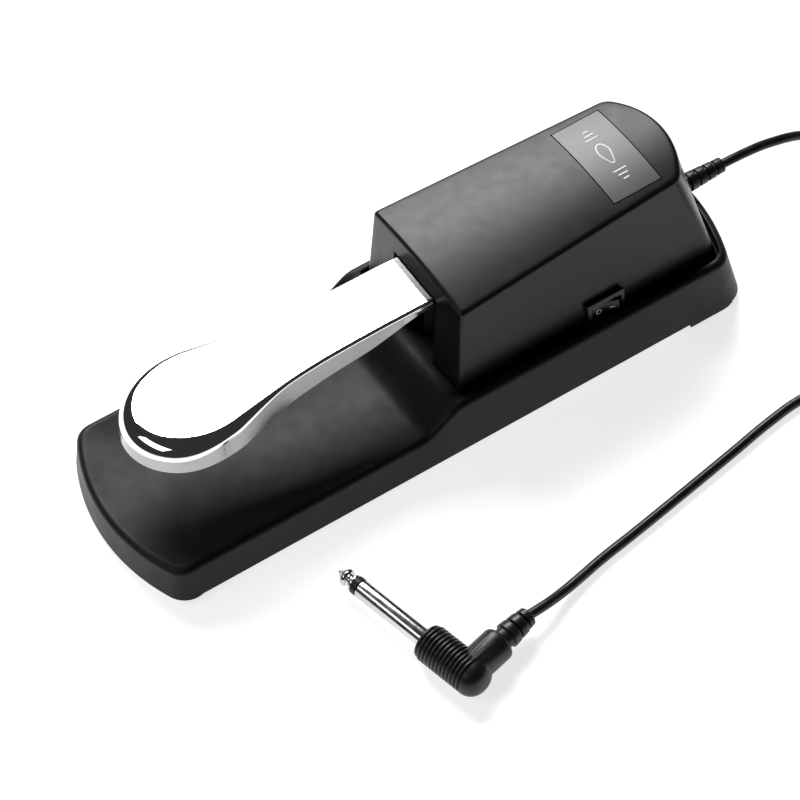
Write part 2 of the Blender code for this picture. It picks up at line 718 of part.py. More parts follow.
def make_lever():
    lever = finish_mesh("lever", loft(lever_rings(0, 0), across=True), CHROME)
    hollow = finish_mesh("lever_hollow", loft(lever_rings(1.5 * MM, LEVER_THICK, 30 * MM), across=True))
    boolean(hollow, box("hollow_end", (-30 * MM, -8 * MM, 20 * MM), (30 * MM, 90 * MM, 60 * MM)))
    boolean(lever, hollow)
    for side in (-1, 1):
        inner, outer = sorted((side * 8.6 * MM, side * 10.4 * MM))
        ear = box(
            f"lever_ear_{side}",
            (inner, PIVOT_Y - 7 * MM, PIVOT_Z - 5.5 * MM),
            (outer, PIVOT_Y + 7 * MM, LEVER_TOP - 0.5 * MM),
        )
        boolean(lever, ear, "UNION")
    boolean(lever, cylinder("lever_bore", (0, PIVOT_Y, PIVOT_Z), AXLE_RADIUS + GAP, 40 * MM, "X"))


# Pivot, spring and stops


def make_bracket():
    half = BRACKET_HALF
    wall = BRACKET_WALL
    low = BRACKET_LOW
    top = 48 * MM
    bracket = box("pivot_bracket", (-half, 34 * MM, low), (half, 63 * MM, low + wall), STEEL)
    left = box("bracket_left", (-half, 37 * MM, low), (-half + wall, 88 * MM, top))
    corners = [(37, 20.3), (54, 20.3), (54, 34), (60, 40), (71, 43.5), (71, 46.4)]
    corners += [(54, 46.4), (54, 48), (37, 48)]
    side = [(y * MM, z * MM) for y, z in corners]
    right = flat_shape("bracket_right", side, 0, wall, turn=sideways(half - wall))
    ledge = box("bracket_ledge", (2 * MM, 62 * MM, 44.9 * MM), (half - wall / 2, 71 * MM, 46.4 * MM))
    for piece in (left, right, ledge):
        boolean(bracket, piece, "UNION")
    boolean(bracket, cylinder("bracket_bore", (0, PIVOT_Y, PIVOT_Z), AXLE_RADIUS + GAP, 60 * MM, "X"))
    for n, (x, y) in enumerate(BRACKET_SCREWS):
        boolean(bracket, cylinder(f"bracket_hole_{n}", (x, y, low), SCREW_HOLE, 8 * MM, sides=12))
    for n, (y, z) in enumerate(switch_screw_places()):
        hole = cylinder(f"bracket_side_hole_{n}", (-half, y, z), SCREW_HOLE, 8 * MM, "X", sides=12)
        boolean(bracket, hole)


def make_axle():
    cylinder("lever_axle", (0, PIVOT_Y, PIVOT_Z), AXLE_RADIUS, 34 * MM, "X", STEEL, sides=24)
    for name, side in (("axle_clip_left", -1), ("axle_clip_right", 1)):
        x = side * (BRACKET_HALF + GAP + 0.5 * MM)
        clip = cylinder(name, (x, PIVOT_Y, PIVOT_Z), 4.4 * MM, 1 * MM, "X", STEEL, sides=20)
        boolean(clip, cylinder(f"{name}_bore", (x, PIVOT_Y, PIVOT_Z), AXLE_RADIUS + GAP, 6 * MM, "X"))
        mouth = 1.4 * MM
        low = (x - 3 * MM, PIVOT_Y - mouth, PIVOT_Z - 6 * MM)
        boolean(clip, box(f"{name}_mouth", low, (x + 3 * MM, PIVOT_Y + mouth, PIVOT_Z)))


def make_spring():
    flange = 1.2 * MM
    seat_low = PLINTH_FLOOR + GAP
    cap_top = LEVER_TOP - LEVER_THICK - GAP
    low = seat_low + flange + GAP + SPRING_WIRE
    high = cap_top - flange - GAP - SPRING_WIRE
    steps = 12
    count = SPRING_TURNS * steps
    reach = SPRING_RADIUS - SPRING_WIRE
    points = []
    for n in range(count + 1):
        angle = 2 * math.pi * n / steps
        share = 0.35 * smoothstep(n / count) + 0.65 * n / count
        points.append(
            Vector((reach * math.cos(angle), SPRING_Y + reach * math.sin(angle), low + (high - low) * share))
        )
    tube("return_spring", points, SPRING_WIRE, STEEL, resolution=1)
    wide = 7 * MM
    boss = 3.9 * MM
    profile = [(0, 0), (wide, 0), (wide, -flange), (boss, -flange), (boss - 0.5 * MM, -5 * MM), (0, -5 * MM)]
    cap = turned("spring_cap", profile, BLACK_PLASTIC, 20)
    cap.location = (0, SPRING_Y, cap_top)
    profile = [(radius, -height) for radius, height in reversed(profile)]
    seat = turned("spring_seat", profile, BLACK_PLASTIC, 20)
    seat.location = (0, SPRING_Y, seat_low)


def make_stops():
    under = LEVER_TOP - LEVER_THICK
    box("up_stop_pad", (3 * MM, 64.5 * MM, 46.7 * MM), (10 * MM, 70.5 * MM, under - GAP), RUBBER, 0.5 * MM)
    front = DOWN_STOP_Y - 4 * MM
    top = under - math.tan(LEVER_TRAVEL) * (PIVOT_Y - front) - 0.6 * MM
    low = PLINTH_FLOOR + GAP
    profile = [(0, top), (2.6 * MM, top), (4 * MM, top - 1.4 * MM), (4 * MM, low), (0, low)]
    pad = turned("down_stop_pad", profile, RUBBER, 20)
    pad.location.y = DOWN_STOP_Y


# Switches


def switch_screw_places():
    """The microswitch's two mounting holes, as (y, z)."""
    return [(SWITCH_REAR - 25 * MM, SWITCH_LOW + 2.8 * MM), (SWITCH_REAR - 2.8 * MM, SWITCH_LOW + 13.1 * MM)]


def make_microswitch():
    front = SWITCH_REAR - SWITCH_LENGTH
    top = SWITCH_LOW + SWITCH_HEIGHT
    inner = SWITCH_X + SWITCH_WIDTH
    low = (SWITCH_X, front, SWITCH_LOW)
    body = box("microswitch_body", low, (inner, SWITCH_REAR, top), SWITCH_BODY, 0.4 * MM, 1)
    for n, (y, z) in enumerate(switch_screw_places()):
        boolean(body, cylinder(f"switch_hole_{n}", (SWITCH_X, y, z), SCREW_HOLE, 40 * MM, "X", sides=12))
        seat = Vector((inner + GAP, y, z))
        screw(f"microswitch_screw_{n + 1}", seat, Vector((-1, 0, 0)), 13 * MM)
    plunger_y = LEAF_HINGE_Y - 8 * MM
    boolean(body, cylinder("plunger_well", (SWITCH_MIDDLE, plunger_y, top), 1.5 * MM, 5.6 * MM, sides=16))
    plunger = (SWITCH_MIDDLE, plunger_y, top - 1.05 * MM)
    cylinder("microswitch_plunger", plunger, 1.1 * MM, 2.3 * MM, "Z", PLUNGER_RED, 16)
    make_leaf()
    for n, y in enumerate(SWITCH_TAGS):
        low = (SWITCH_MIDDLE - 2.4 * MM, y - 0.25 * MM, SWITCH_LOW - 6 * MM)
        high = (SWITCH_MIDDLE + 2.4 * MM, y + 0.25 * MM, SWITCH_LOW - GAP)
        box(f"microswitch_terminal_{n + 1}", low, high, BRASS)


def make_leaf():
    """The microswitch's leaf: flat over the plunger, with a raised end that the lever's tail rides on."""
    crest = LEVER_TOP - LEVER_THICK - GAP - LEAF_HINGE_Z - 0.2 * MM
    path = [
        Vector((1.2 * MM, 0)),
        Vector((-10.5 * MM, 0)),
        Vector((-13.2 * MM, crest)),
        Vector((-15.2 * MM, crest)),
        Vector((-17.6 * MM, 0.1 * MM)),
    ]
    half = 0.2 * MM
    upper = [(point.x, point.y + half) for point in path]
    lower = [(point.x, point.y - half) for point in reversed(path)]
    leaf = flat_shape("microswitch_lever", upper + lower, -1.9 * MM, 1.9 * MM, STEEL)
    leaf.matrix_world = Matrix.Translation((0, LEAF_HINGE_Y, LEAF_HINGE_Z)) @ sideways(SWITCH_MIDDLE)


def make_polarity_switch():
    body = box(
        "polarity_switch_body", (-12 * MM, -6.4 * MM, -4 * MM), (0.5 * MM, 6.4 * MM, 4 * MM), SWITCH_BLACK
    )
    frame = box(
        "bezel",
        (GAP, -BEZEL_LENGTH / 2, -BEZEL_HEIGHT / 2),
        (1.8 * MM, BEZEL_LENGTH / 2, BEZEL_HEIGHT / 2),
        bevel=0.4 * MM,
    )
    window = box("bezel_window", (-6 * MM, -5.9 * MM, -3.1 * MM), (9 * MM, 5.9 * MM, 3.1 * MM))
    boolean(body, frame, "UNION")
    boolean(body, window)
    rocker = make_rocker()
    for piece in (body, frame, window, rocker):
        piece.parent = ROCKER_MOUNT
    for n, y in enumerate(POLARITY_TAGS):
        low = (-16.8 * MM, y - 0.3 * MM, -1.6 * MM)
        tag = box(f"polarity_terminal_{n + 1}", low, (-12 * MM - GAP, y + 0.3 * MM, 1.6 * MM), BRASS)
        tag.parent = ROCKER_MOUNT


def make_rocker():
    """The rocker: two flat wings that meet in a shallow valley, turned to its rest position."""
    reach = 4.95 * MM
    valley = 2.9 * MM
    wing = 0.9 * MM
    outline = [
        (valley + wing, -reach),
        (valley, 0),
        (valley + wing, reach),
        (-0.2 * MM, reach - 0.1 * MM),
        (-2.2 * MM, 0),
        (-0.2 * MM, -reach + 0.1 * MM),
    ]
    rocker = flat_shape("polarity_rocker", outline[::-1], -2.75 * MM, 2.75 * MM, SWITCH_BLACK)
    rocker.location.x = -ROCKER_AXIS_IN
    rocker.rotation_euler.z = -ROCKER_TILT
    return rocker


# Screws


def screw(name, seat, direction, length):
    """A pan-head screw: its head's underside on the seat, its shank along the direction."""
    head = 2.7 * MM
    height = 1.6 * MM
    shank = SCREW_RADIUS
    profile = [
        (0, height),
        (head * 0.6, height),
        (head * 0.93, height * 0.6),
        (head, 0),
        (shank, 0),
        (shank, shank - length),
        (shank * 0.3, -length),
        (0, -length),
    ]
    return aim(turned(name, profile, STEEL, 12), seat, -direction)


def make_screws():
    up = Vector((0, 0, 1))
    for n, (x, y) in enumerate(PLATE_SCREWS):
        screw(f"base_screw_{n + 1}", Vector((x, y, BASE_BOTTOM)), up, 7.5 * MM)
    for n, (x, y) in enumerate(COVER_SCREWS):
        seat = Vector((x, y, PLINTH_FLOOR - BASE_WALL - GAP))
        screw(f"cover_screw_{n + 1}", seat, up, 13 * MM)
    for n, (x, y) in enumerate(BRACKET_SCREWS):
        screw(f"bracket_screw_{n + 1}", Vector((x, y, BRACKET_LOW + BRACKET_WALL + GAP)), -up, 7 * MM)
    strap = PLINTH_FLOOR + 2 * GAP + 1 * MM
    screw("clamp_screw", Vector((*CLAMP_SCREW, strap)), -up, 6 * MM)


# Cord and wiring

RELIEF_FACE = Vector((RELIEF_X, RELIEF_END + GAP, RELIEF_Z))
FLOOR = CORD_RADIUS + 0.01 * MM
INNER_CORD = [
    (2, 103.4, 28.3),
    (2, 100.6, 27.8),
    (2, 98, 25.8),
    (2, 95.8, 23.4),
    (2, 93.4, 22.4),
    (2, 84.8, 22.4),
]
NEAR_CORD = [
    (2, 134, 28.1),
    (1.8, 140, 27.4),
    (1.8, 146, 26.6),
    (1.9, 151, 25.5),
    (2.1, 157, 23.9),
    (2.4, 162.5, 21.8),
    (3, 170, 18),
    (4.6, 178, 13.2),
    (8, 186, 8.2),
    (13.5, 192.5, 4.4),
    (21.5, 197, 2.4),
    (31, 199.3, 1.9),
    (41, 200, 1.8),
    (51, 199.8, 1.8),
    (58, 199.3, 1.8),
]
FAR_CORD = [
    (92.6, 165, 1.8),
    (92, 155, 1.8),
    (90.2, 143, 1.8),
    (87.6, 130, 1.8),
    (85.3, 116, 1.8),
    (84, 102.4, 1.8),
    (85.6, 88, 1.8),
    (88.4, 73, 1.8),
    (91.5, 56, 1.8),
    (94.4, 39.6, 1.8),
    (96.9, 25, 1.8),
    (99.3, 10.5, 1.8),
    (101.6, 1, 2.3),
    (103.7, -7.5, 3.7),
    (105.4, -14, 5.5),
]
WIRES = {
    "wire_ground": (
        WIRE_WHITE,
        [(1.2, 84.2, 22.4), (-1.5, 84.2, 22.5), (-5.4, 83.2, 23), (-6.65, 82.2, 25)],
    ),
    "wire_signal": (
        WIRE_RED,
        [
            (2.8, 84.2, 22.4),
            (5, 80, 22),
            (7.6, 72, 21.8),
            (9.4, 65, 22.2),
            (10.3, 61.6, 23.6),
            (11.4, 60.85, 24.3),
        ],
    ),
    "wire_open": (
        WIRE_WHITE,
        [
            (-6.65, 63.2, 25),
            (-5.8, 62.6, 23.4),
            (-2, 62, 22.7),
            (4, 60.2, 23),
            (8.5, 57.4, 23.8),
            (11.4, 56.15, 24.3),
        ],
    ),
    "wire_closed": (
        WIRE_RED,
        [
            (-6.65, 72.2, 25),
            (-5, 72.1, 23.4),
            (0, 70.8, 22.3),
            (5, 68.6, 23.3),
            (8.6, 66.4, 24.4),
            (11.4, 65.55, 24.3),
        ],
    ),
}


def millimetres(points):
    return [Vector(point) * MM for point in points]


def coil_edge(angle):
    """Where a cord on the floor leaves the coil's outer side, in plan."""
    drop = COIL_CENTRE.z - FLOOR
    reach = COIL_RADIUS + math.sqrt((COIL_BUNDLE + CORD_RADIUS + 2 * GAP) ** 2 - drop**2)
    return Vector((COIL_CENTRE.x + reach * math.cos(angle), COIL_CENTRE.y + reach * math.sin(angle), FLOOR))


def make_cord():
    near = [RELIEF_FACE, *millimetres(NEAR_CORD), coil_edge(math.radians(85))]
    tube("cord_near", smooth_route(near, 9 * MM), CORD_RADIUS, CORD_JACKET)
    across = Matrix.Rotation(PLUG_HEADING, 3, "Z") @ Vector((0, -1, 0))
    boot_end = PLUG_SHOULDER - plug_axis() * PLUG_ELBOW + across * (PLUG_BOOT_END + GAP)
    far = [coil_edge(math.radians(10)), *millimetres(FAR_CORD), boot_end]
    tube("cord_far", smooth_route(far, 9 * MM), CORD_RADIUS, CORD_JACKET)
    ring = arc((COIL_RADIUS, 0), COIL_BUNDLE, math.pi / 2, -1.5 * math.pi, 12)
    coil = turned("cord_coil", [(p.x, p.y) for p in ring], CORD_JACKET, 32, closed=True)
    coil.location = COIL_CENTRE
    inner = COIL_BUNDLE + GAP
    band = [(inner, 2 * MM), (inner + 0.4 * MM, 2 * MM), (inner + 0.4 * MM, -2 * MM), (inner, -2 * MM)]
    tie = turned("cord_tie", band, BLACK_PLASTIC, 20, closed=True)
    around = Vector((math.cos(TIE_ANGLE), math.sin(TIE_ANGLE), 0))
    aim(tie, COIL_CENTRE + around * COIL_RADIUS, Vector((-around.y, around.x, 0)))


def make_inner_cord():
    tube("cord_inner", smooth_route(millimetres(INNER_CORD), 3.5 * MM), CORD_RADIUS, CORD_JACKET)
    for name, (look, points) in WIRES.items():
        tube(name, smooth_route(millimetres(points), 2.5 * MM), 0.6 * MM, look, resolution=1)
    inner = CORD_RADIUS + GAP
    outer = inner + 1 * MM
    centre = (2 * MM, CLAMPED_CORD_Z)
    low = PLINTH_FLOOR + GAP
    arch = arc(centre, outer, math.radians(-20), math.pi, 8) + [Vector((centre[0] - outer, centre[1]))]
    inside = arc(centre, inner, math.pi, math.radians(-20), 8)
    foot = [Vector((centre[0] - outer, low)), Vector((centre[0] - inner, low)), *inside]
    foot += [Vector((centre[0] + inner, low)), Vector((CLAMP_SCREW[0] + 3.5 * MM, low))]
    foot += [Vector((CLAMP_SCREW[0] + 3.5 * MM, low + MM)), Vector((centre[0] + outer, low + MM))]
    strap = flat_shape("cord_clamp", arch + foot, -3 * MM, 3 * MM, STEEL, turn=lengthways(CLAMP_SCREW[1]))
    boolean(strap, cylinder("clamp_hole", (*CLAMP_SCREW, low), SCREW_HOLE, 6 * MM, sides=12))


def make_relief():
    """The cord's strain relief: a flange inside the rear wall, then four rings that taper outwards."""
    inside = 104 * MM
    origin = Vector((RELIEF_X, inside, RELIEF_Z))
    length = RELIEF_END - inside
    profile = [(0, length)]
    start = 9.5 * MM
    rings = 4
    pitch = (length - start) / rings
    for n in reversed(range(rings)):
        radius = 3.5 * MM - 0.7 * MM * n / (rings - 1)
        low = start + n * pitch
        profile += [(radius, low + pitch), (radius + 0.05 * MM, low + 0.9 * MM)]
        profile += [(radius - 0.7 * MM, low + 0.9 * MM), (radius - 0.7 * MM, low)]
    profile += [(3.5 * MM, start), (3.5 * MM, 2 * MM), (5.2 * MM, 2 * MM), (5.2 * MM, 0), (0, 0)]
    aim(turned("strain_relief", profile, RUBBER, 20), origin, Vector((0, 1, 0)))


# Plug

PLUG_BOOT_END = 28.7 * MM


def plug_axis():
    return Vector((math.cos(PLUG_HEADING), math.sin(PLUG_HEADING), 0))


def make_plug():
    axis = plug_axis()
    shaft = 3.175 * MM
    tip = [(39.8, 0), (39.8, 1.5), (39.2, 2.3), (38.2, 2.75), (37.0, 2.5), (35.7, 1.75), (35.0, 1.8)]
    tip += [(33.6, 2.7), (32.9, 3.0), (31.9, 3.0), (31.9, 0)]
    aim(turned("plug_tip", [(r * MM, s * MM) for s, r in tip], NICKEL, 20), PLUG_SHOULDER, axis)
    ring = [(0, 31.6 * MM), (3.3 * MM, 31.6 * MM), (3.3 * MM, 29.9 * MM), (0, 29.9 * MM)]
    aim(turned("plug_insulator", ring, BLACK_PLASTIC, 20), PLUG_SHOULDER, axis)
    sleeve = [(0, 29.6 * MM), (shaft - 0.2 * MM, 29.6 * MM), (shaft, 29.3 * MM), (shaft, GAP), (0, GAP)]
    aim(turned("plug_sleeve", sleeve, NICKEL, 24), PLUG_SHOULDER, axis)
    make_plug_body(axis)
    make_plug_boot(axis)


def make_plug_body(axis):
    """The moulded body: ribs from the shoulder on, a domed end, and a barrel at a right angle."""
    ribbed = 19.6 * MM
    pitch = ribbed / PLUG_RIBS
    radius = PLUG_BODY_RADIUS
    profile = [(0, 0), (radius - 1.2 * MM, 0)]
    for n in range(PLUG_RIBS):
        crest = radius - (0.5 * MM if n == 0 else 0)
        profile += [(crest, -(n + 0.25) * pitch), (crest, -(n + 0.65) * pitch)]
        profile += [(radius - 0.6 * MM, -(n + 1) * pitch)]
    dome_start = ribbed + 0.6 * MM
    dome = PLUG_BODY_LENGTH - dome_start
    for turn in (0, 22.5, 45, 67.5):
        angle = math.radians(turn)
        profile.append((radius * math.cos(angle) ** 0.8, -dome_start - dome * math.sin(angle)))
    profile.append((0, -PLUG_BODY_LENGTH))
    body = aim(turned("plug_body", profile, BLACK_PLASTIC, 20), PLUG_SHOULDER, axis)
    barrel = PLUG_BARREL_RADIUS
    profile = [(0, 15.6), (4.2, 15.6), (5.2, 15.2), (5.9, 14.3), (5.9, 0), (0, 0)]
    arm = turned("plug_barrel", [(min(r * MM, barrel), s * MM) for r, s in profile], None, 24)
    aim(arm, PLUG_SHOULDER - axis * PLUG_ELBOW, Vector((axis.y, -axis.x, 0)))
    boolean(body, arm, "UNION")


def make_plug_boot(axis):
    """The boot: a neck, then three rings that taper towards the cord."""
    profile = [(0, 28.7), (2.9, 28.7), (3.4, 28.2), (3.6, 26.0), (2.5, 26.0), (2.5, 25.1)]
    profile += [(3.9, 25.1), (4.1, 22.0), (2.9, 22.0), (2.9, 21.1), (4.3, 21.1), (4.5, 18.2)]
    profile += [(3.7, 18.0), (3.7, 15.9), (0, 15.9)]
    boot = turned("plug_boot", [(r * MM, s * MM) for r, s in profile], BLACK_PLASTIC, 20)
    aim(boot, PLUG_SHOULDER - axis * PLUG_ELBOW, Vector((axis.y, -axis.x, 0)))


ROCKER_MOUNT = bpy.data.objects.new("rocker_mount", None)
PARTS.objects.link(ROCKER_MOUNT)
ROCKER_MOUNT.location = ROCKER_PLACE
ROCKER_MOUNT.rotation_euler.y = ROCKER_LEAN

make_base()
make_bottom_plate()
make_feet()
make_cover()
make_lever()
make_bracket()
make_axle()
make_spring()
make_stops()
make_microswitch()
make_polarity_switch()
make_screws()
make_inner_cord()
make_relief()
make_cord()
make_plug()
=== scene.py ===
"""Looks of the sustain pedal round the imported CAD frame: camera, cord, surfaces, materials, light."""

import math

import bmesh
import bpy
from mathutils import Matrix, Vector
from mathutils.bvhtree import BVHTree


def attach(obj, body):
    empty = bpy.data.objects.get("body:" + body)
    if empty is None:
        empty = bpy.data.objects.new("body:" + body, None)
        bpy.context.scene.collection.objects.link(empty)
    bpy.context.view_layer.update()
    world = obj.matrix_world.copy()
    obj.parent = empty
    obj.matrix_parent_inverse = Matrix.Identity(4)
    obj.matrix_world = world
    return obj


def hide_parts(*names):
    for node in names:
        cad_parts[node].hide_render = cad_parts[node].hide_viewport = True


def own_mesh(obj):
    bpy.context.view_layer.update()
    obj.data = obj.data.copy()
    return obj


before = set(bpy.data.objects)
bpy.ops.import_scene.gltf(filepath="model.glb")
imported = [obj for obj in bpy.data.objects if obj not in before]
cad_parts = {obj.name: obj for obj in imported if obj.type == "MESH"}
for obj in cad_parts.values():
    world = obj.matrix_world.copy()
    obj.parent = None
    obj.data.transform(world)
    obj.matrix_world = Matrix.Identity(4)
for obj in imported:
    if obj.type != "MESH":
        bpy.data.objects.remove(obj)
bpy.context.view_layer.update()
MM = 0.001
WHITE_LIGHT = (1.0, 1.0, 1.0)


# Camera


CAMERA_PLACE = (0.5513, -0.2879, 0.8121)
CAMERA_AZIMUTH = math.radians(63.43)
CAMERA_ELEVATION = math.radians(51.78)
CAMERA_ROLL = math.radians(-6.67)
CAMERA_LENS = 134.2
CAMERA_SHIFT = (0.0323, -0.0717)


def make_camera():
    azimuth = CAMERA_AZIMUTH
    elevation = CAMERA_ELEVATION
    roll = CAMERA_ROLL
    back = Vector(
        (
            math.sin(azimuth) * math.cos(elevation),
            -math.cos(azimuth) * math.cos(elevation),
            math.sin(elevation),
        )
    )
    right = Vector((math.cos(azimuth), math.sin(azimuth), 0))
    up = back.cross(right)
    turned_right = right * math.cos(roll) + up * math.sin(roll)
    turned_up = up * math.cos(roll) - right * math.sin(roll)
    data = bpy.data.cameras.new("camera")
    data.lens = CAMERA_LENS
    data.sensor_width = 36
    data.shift_x, data.shift_y = CAMERA_SHIFT
    data.clip_start = 0.05
    camera = bpy.data.objects.new("camera", data)
    bpy.context.scene.collection.objects.link(camera)
    turn = Matrix((turned_right, turned_up, back)).transposed()
    camera.matrix_world = Matrix.Translation(CAMERA_PLACE) @ turn.to_4x4()
    bpy.context.scene.camera = camera


# Geometry helpers


def add_mesh(name, points, faces, material=None, smooth=True, smooth_angle=35):
    mesh = bpy.data.meshes.new(name)
    mesh.from_pydata([tuple(p) for p in points], [], faces)
    mesh.validate()
    if smooth:
        mesh.polygons.foreach_set("use_smooth", [True] * len(mesh.polygons))
        mesh.set_sharp_from_angle(angle=math.radians(smooth_angle))
    obj = bpy.data.objects.new(name, mesh)
    bpy.context.scene.collection.objects.link(obj)
    if material:
        mesh.materials.append(material)
    return obj


def in_mm(pairs):
    return [(a * MM, b * MM) for a, b in pairs]


def frame_of(axis):
    """Two directions square to an axis."""
    axis = axis.normalized()
    side = axis.cross(Vector((0, 0, 1)))
    side = side.normalized() if side.length > 0.1 else Vector((1, 0, 0))
    return side, axis.cross(side)


def lathe(name, profile, origin, axis, material=None, steps=64, smooth_angle=35):
    """A turned piece. The profile is (along, radius) in metres."""
    axis = axis.normalized()
    side, other = frame_of(axis)
    points = []
    faces = []
    for along, radius in profile:
        for n in range(steps):
            turn = 2 * math.pi * n / steps
            out = side * math.cos(turn) + other * math.sin(turn)
            points.append(origin + axis * along + out * radius)
    for k in range(len(profile) - 1):
        for n in range(steps):
            a = k * steps + n
            b = k * steps + (n + 1) % steps
            faces.append((a, b, b + steps, a + steps))
    faces.append(tuple(reversed(range(steps))))
    last = (len(profile) - 1) * steps
    faces.append(tuple(range(last, last + steps)))
    return add_mesh(name, points, faces, material, smooth_angle=smooth_angle)


def rounded(corners, radius, steps=4):
    """A profile's corners rounded off: corners is a list of (along, radius) points."""
    out = [Vector(corners[0])]
    for before, here, after in zip(corners, corners[1:], corners[2:]):
        before, here, after = Vector(before), Vector(here), Vector(after)
        r = min(radius, (here - before).length * 0.45, (after - here).length * 0.45)
        start = here + (before - here).normalized() * r
        stop = here + (after - here).normalized() * r
        for n in range(steps + 1):
            t = n / steps
            out.append(start * (1 - t) ** 2 + here * 2 * t * (1 - t) + stop * t**2)
    out.append(Vector(corners[-1]))
    return [(p.x, p.y) for p in out]


def arc(centre, radius, start, stop, steps):
    turns = [start + (stop - start) * n / steps for n in range(steps + 1)]
    return [Vector((centre[0] + radius * math.cos(t), centre[1] + radius * math.sin(t))) for t in turns]


# Materials


class Shader:
    """A small builder for a Principled material."""

    def __init__(self, name, colour, roughness, metallic=0.0, specular=0.5):
        self.material = bpy.data.materials.new(name)
        self.material.use_nodes = True
        self.tree = self.material.node_tree
        self.shader = self.tree.nodes["Principled BSDF"]
        self.colour = colour
        self.set("Base Color", (*colour, 1))
        self.set("Roughness", roughness)
        self.set("Metallic", metallic)
        self.set("Specular IOR Level", specular)
        self.material.diffuse_color = (*colour, 1)
        self.place = self.tree.nodes.new("ShaderNodeTexCoord").outputs["Object"]
        self.bumps = None

    def set(self, socket, value):
        self.shader.inputs[socket].default_value = value

    def noise(self, size, detail=3.0, stretch=None):
        """Noise whose features are about size metres across."""
        place = self.place
        if stretch:
            mapping = self.tree.nodes.new("ShaderNodeMapping")
            mapping.inputs["Scale"].default_value = stretch
            self.tree.links.new(place, mapping.inputs["Vector"])
            place = mapping.outputs["Vector"]
        node = self.tree.nodes.new("ShaderNodeTexNoise")
        node.inputs["Scale"].default_value = 1 / size
        node.inputs["Detail"].default_value = detail
        self.tree.links.new(place, node.inputs["Vector"])
        return node.outputs["Fac"]

    def spread(self, value, low, high, to_low, to_high):
        node = self.tree.nodes.new("ShaderNodeMapRange")
        self.tree.links.new(value, node.inputs["Value"])
        node.inputs["From Min"].default_value = low
        node.inputs["From Max"].default_value = high
        node.inputs["To Min"].default_value = to_low
        node.inputs["To Max"].default_value = to_high
        return node.outputs["Result"]

    def roughness(self, value, low, high, spread=(0.35, 0.65)):
        self.tree.links.new(self.spread(value, *spread, low, high), self.shader.inputs["Roughness"])

    def tint(self, value, other, spread=(0.35, 0.65)):
        """Mixes another colour in where the value is high."""
        mix = self.tree.nodes.new("ShaderNodeMix")
        mix.data_type = "RGBA"
        mix.inputs["A"].default_value = (*self.colour, 1)
        mix.inputs["B"].default_value = (*other, 1)
        before = self.shader.inputs["Base Color"].links
        if before:
            self.tree.links.new(before[0].from_socket, mix.inputs["A"])
        self.tree.links.new(self.spread(value, *spread, 0.0, 1.0), mix.inputs["Factor"])
        self.tree.links.new(mix.outputs["Result"], self.shader.inputs["Base Color"])

    def bump(self, value, height, strength=1.0):
        node = self.tree.nodes.new("ShaderNodeBump")
        node.inputs["Distance"].default_value = height
        node.inputs["Strength"].default_value = strength
        self.tree.links.new(value, node.inputs["Height"])
        if self.bumps:
            self.tree.links.new(self.bumps, node.inputs["Normal"])
        self.bumps = node.outputs["Normal"]
        self.tree.links.new(self.bumps, self.shader.inputs["Normal"])

    def edges(self, colour, low=0.52, high=0.6):
        """Painted highlight: a lighter colour mixed in on convex edges."""
        node = self.tree.nodes.new("ShaderNodeNewGeometry")
        self.tint(node.outputs["Pointiness"], colour, (low, high))


def moulded(name, colour, roughness, specular, grain, depth):
    look = Shader(name, colour, roughness, specular=specular)
    look.tint(look.noise(9 * MM), tuple(c * 1.12 for c in colour))
    look.roughness(look.noise(5 * MM, 4), roughness - 0.02, roughness + 0.03)
    look.bump(look.noise(grain, 2), depth)
    # painted highlight: convex edges lightened in the colour
    look.edges(tuple(c * 1.8 for c in colour))
    return look.material


def metal(name, colour, roughness, scratch=0.35 * MM, lines=(1, 1, 1), depth=0.002 * MM):
    look = Shader(name, colour, roughness, metallic=1.0)
    look.roughness(look.noise(3 * MM, 4), roughness * 0.85, roughness * 1.2)
    look.tint(look.noise(9 * MM), tuple(c * 0.97 for c in colour))
    look.bump(look.noise(scratch, 3, lines), depth)
    return look.material


def satin(name, colour, roughness):
    look = Shader(name, colour, roughness, metallic=0.9)
    look.roughness(look.noise(0.5 * MM, 2), roughness - 0.02, roughness + 0.02)
    look.tint(look.noise(0.6 * MM, 2), tuple(c * 0.92 for c in colour))
    look.bump(look.noise(0.3 * MM, 2), 0.001 * MM)
    return look.material


def rubbery(name, colour, roughness, grain=0.3 * MM):
    look = Shader(name, colour, roughness, specular=0.35)
    look.tint(look.noise(5 * MM), tuple(c * 1.6 for c in colour))
    look.roughness(look.noise(3 * MM), roughness - 0.06, roughness + 0.06)
    look.bump(look.noise(grain, 2), 0.012 * MM)
    return look.material


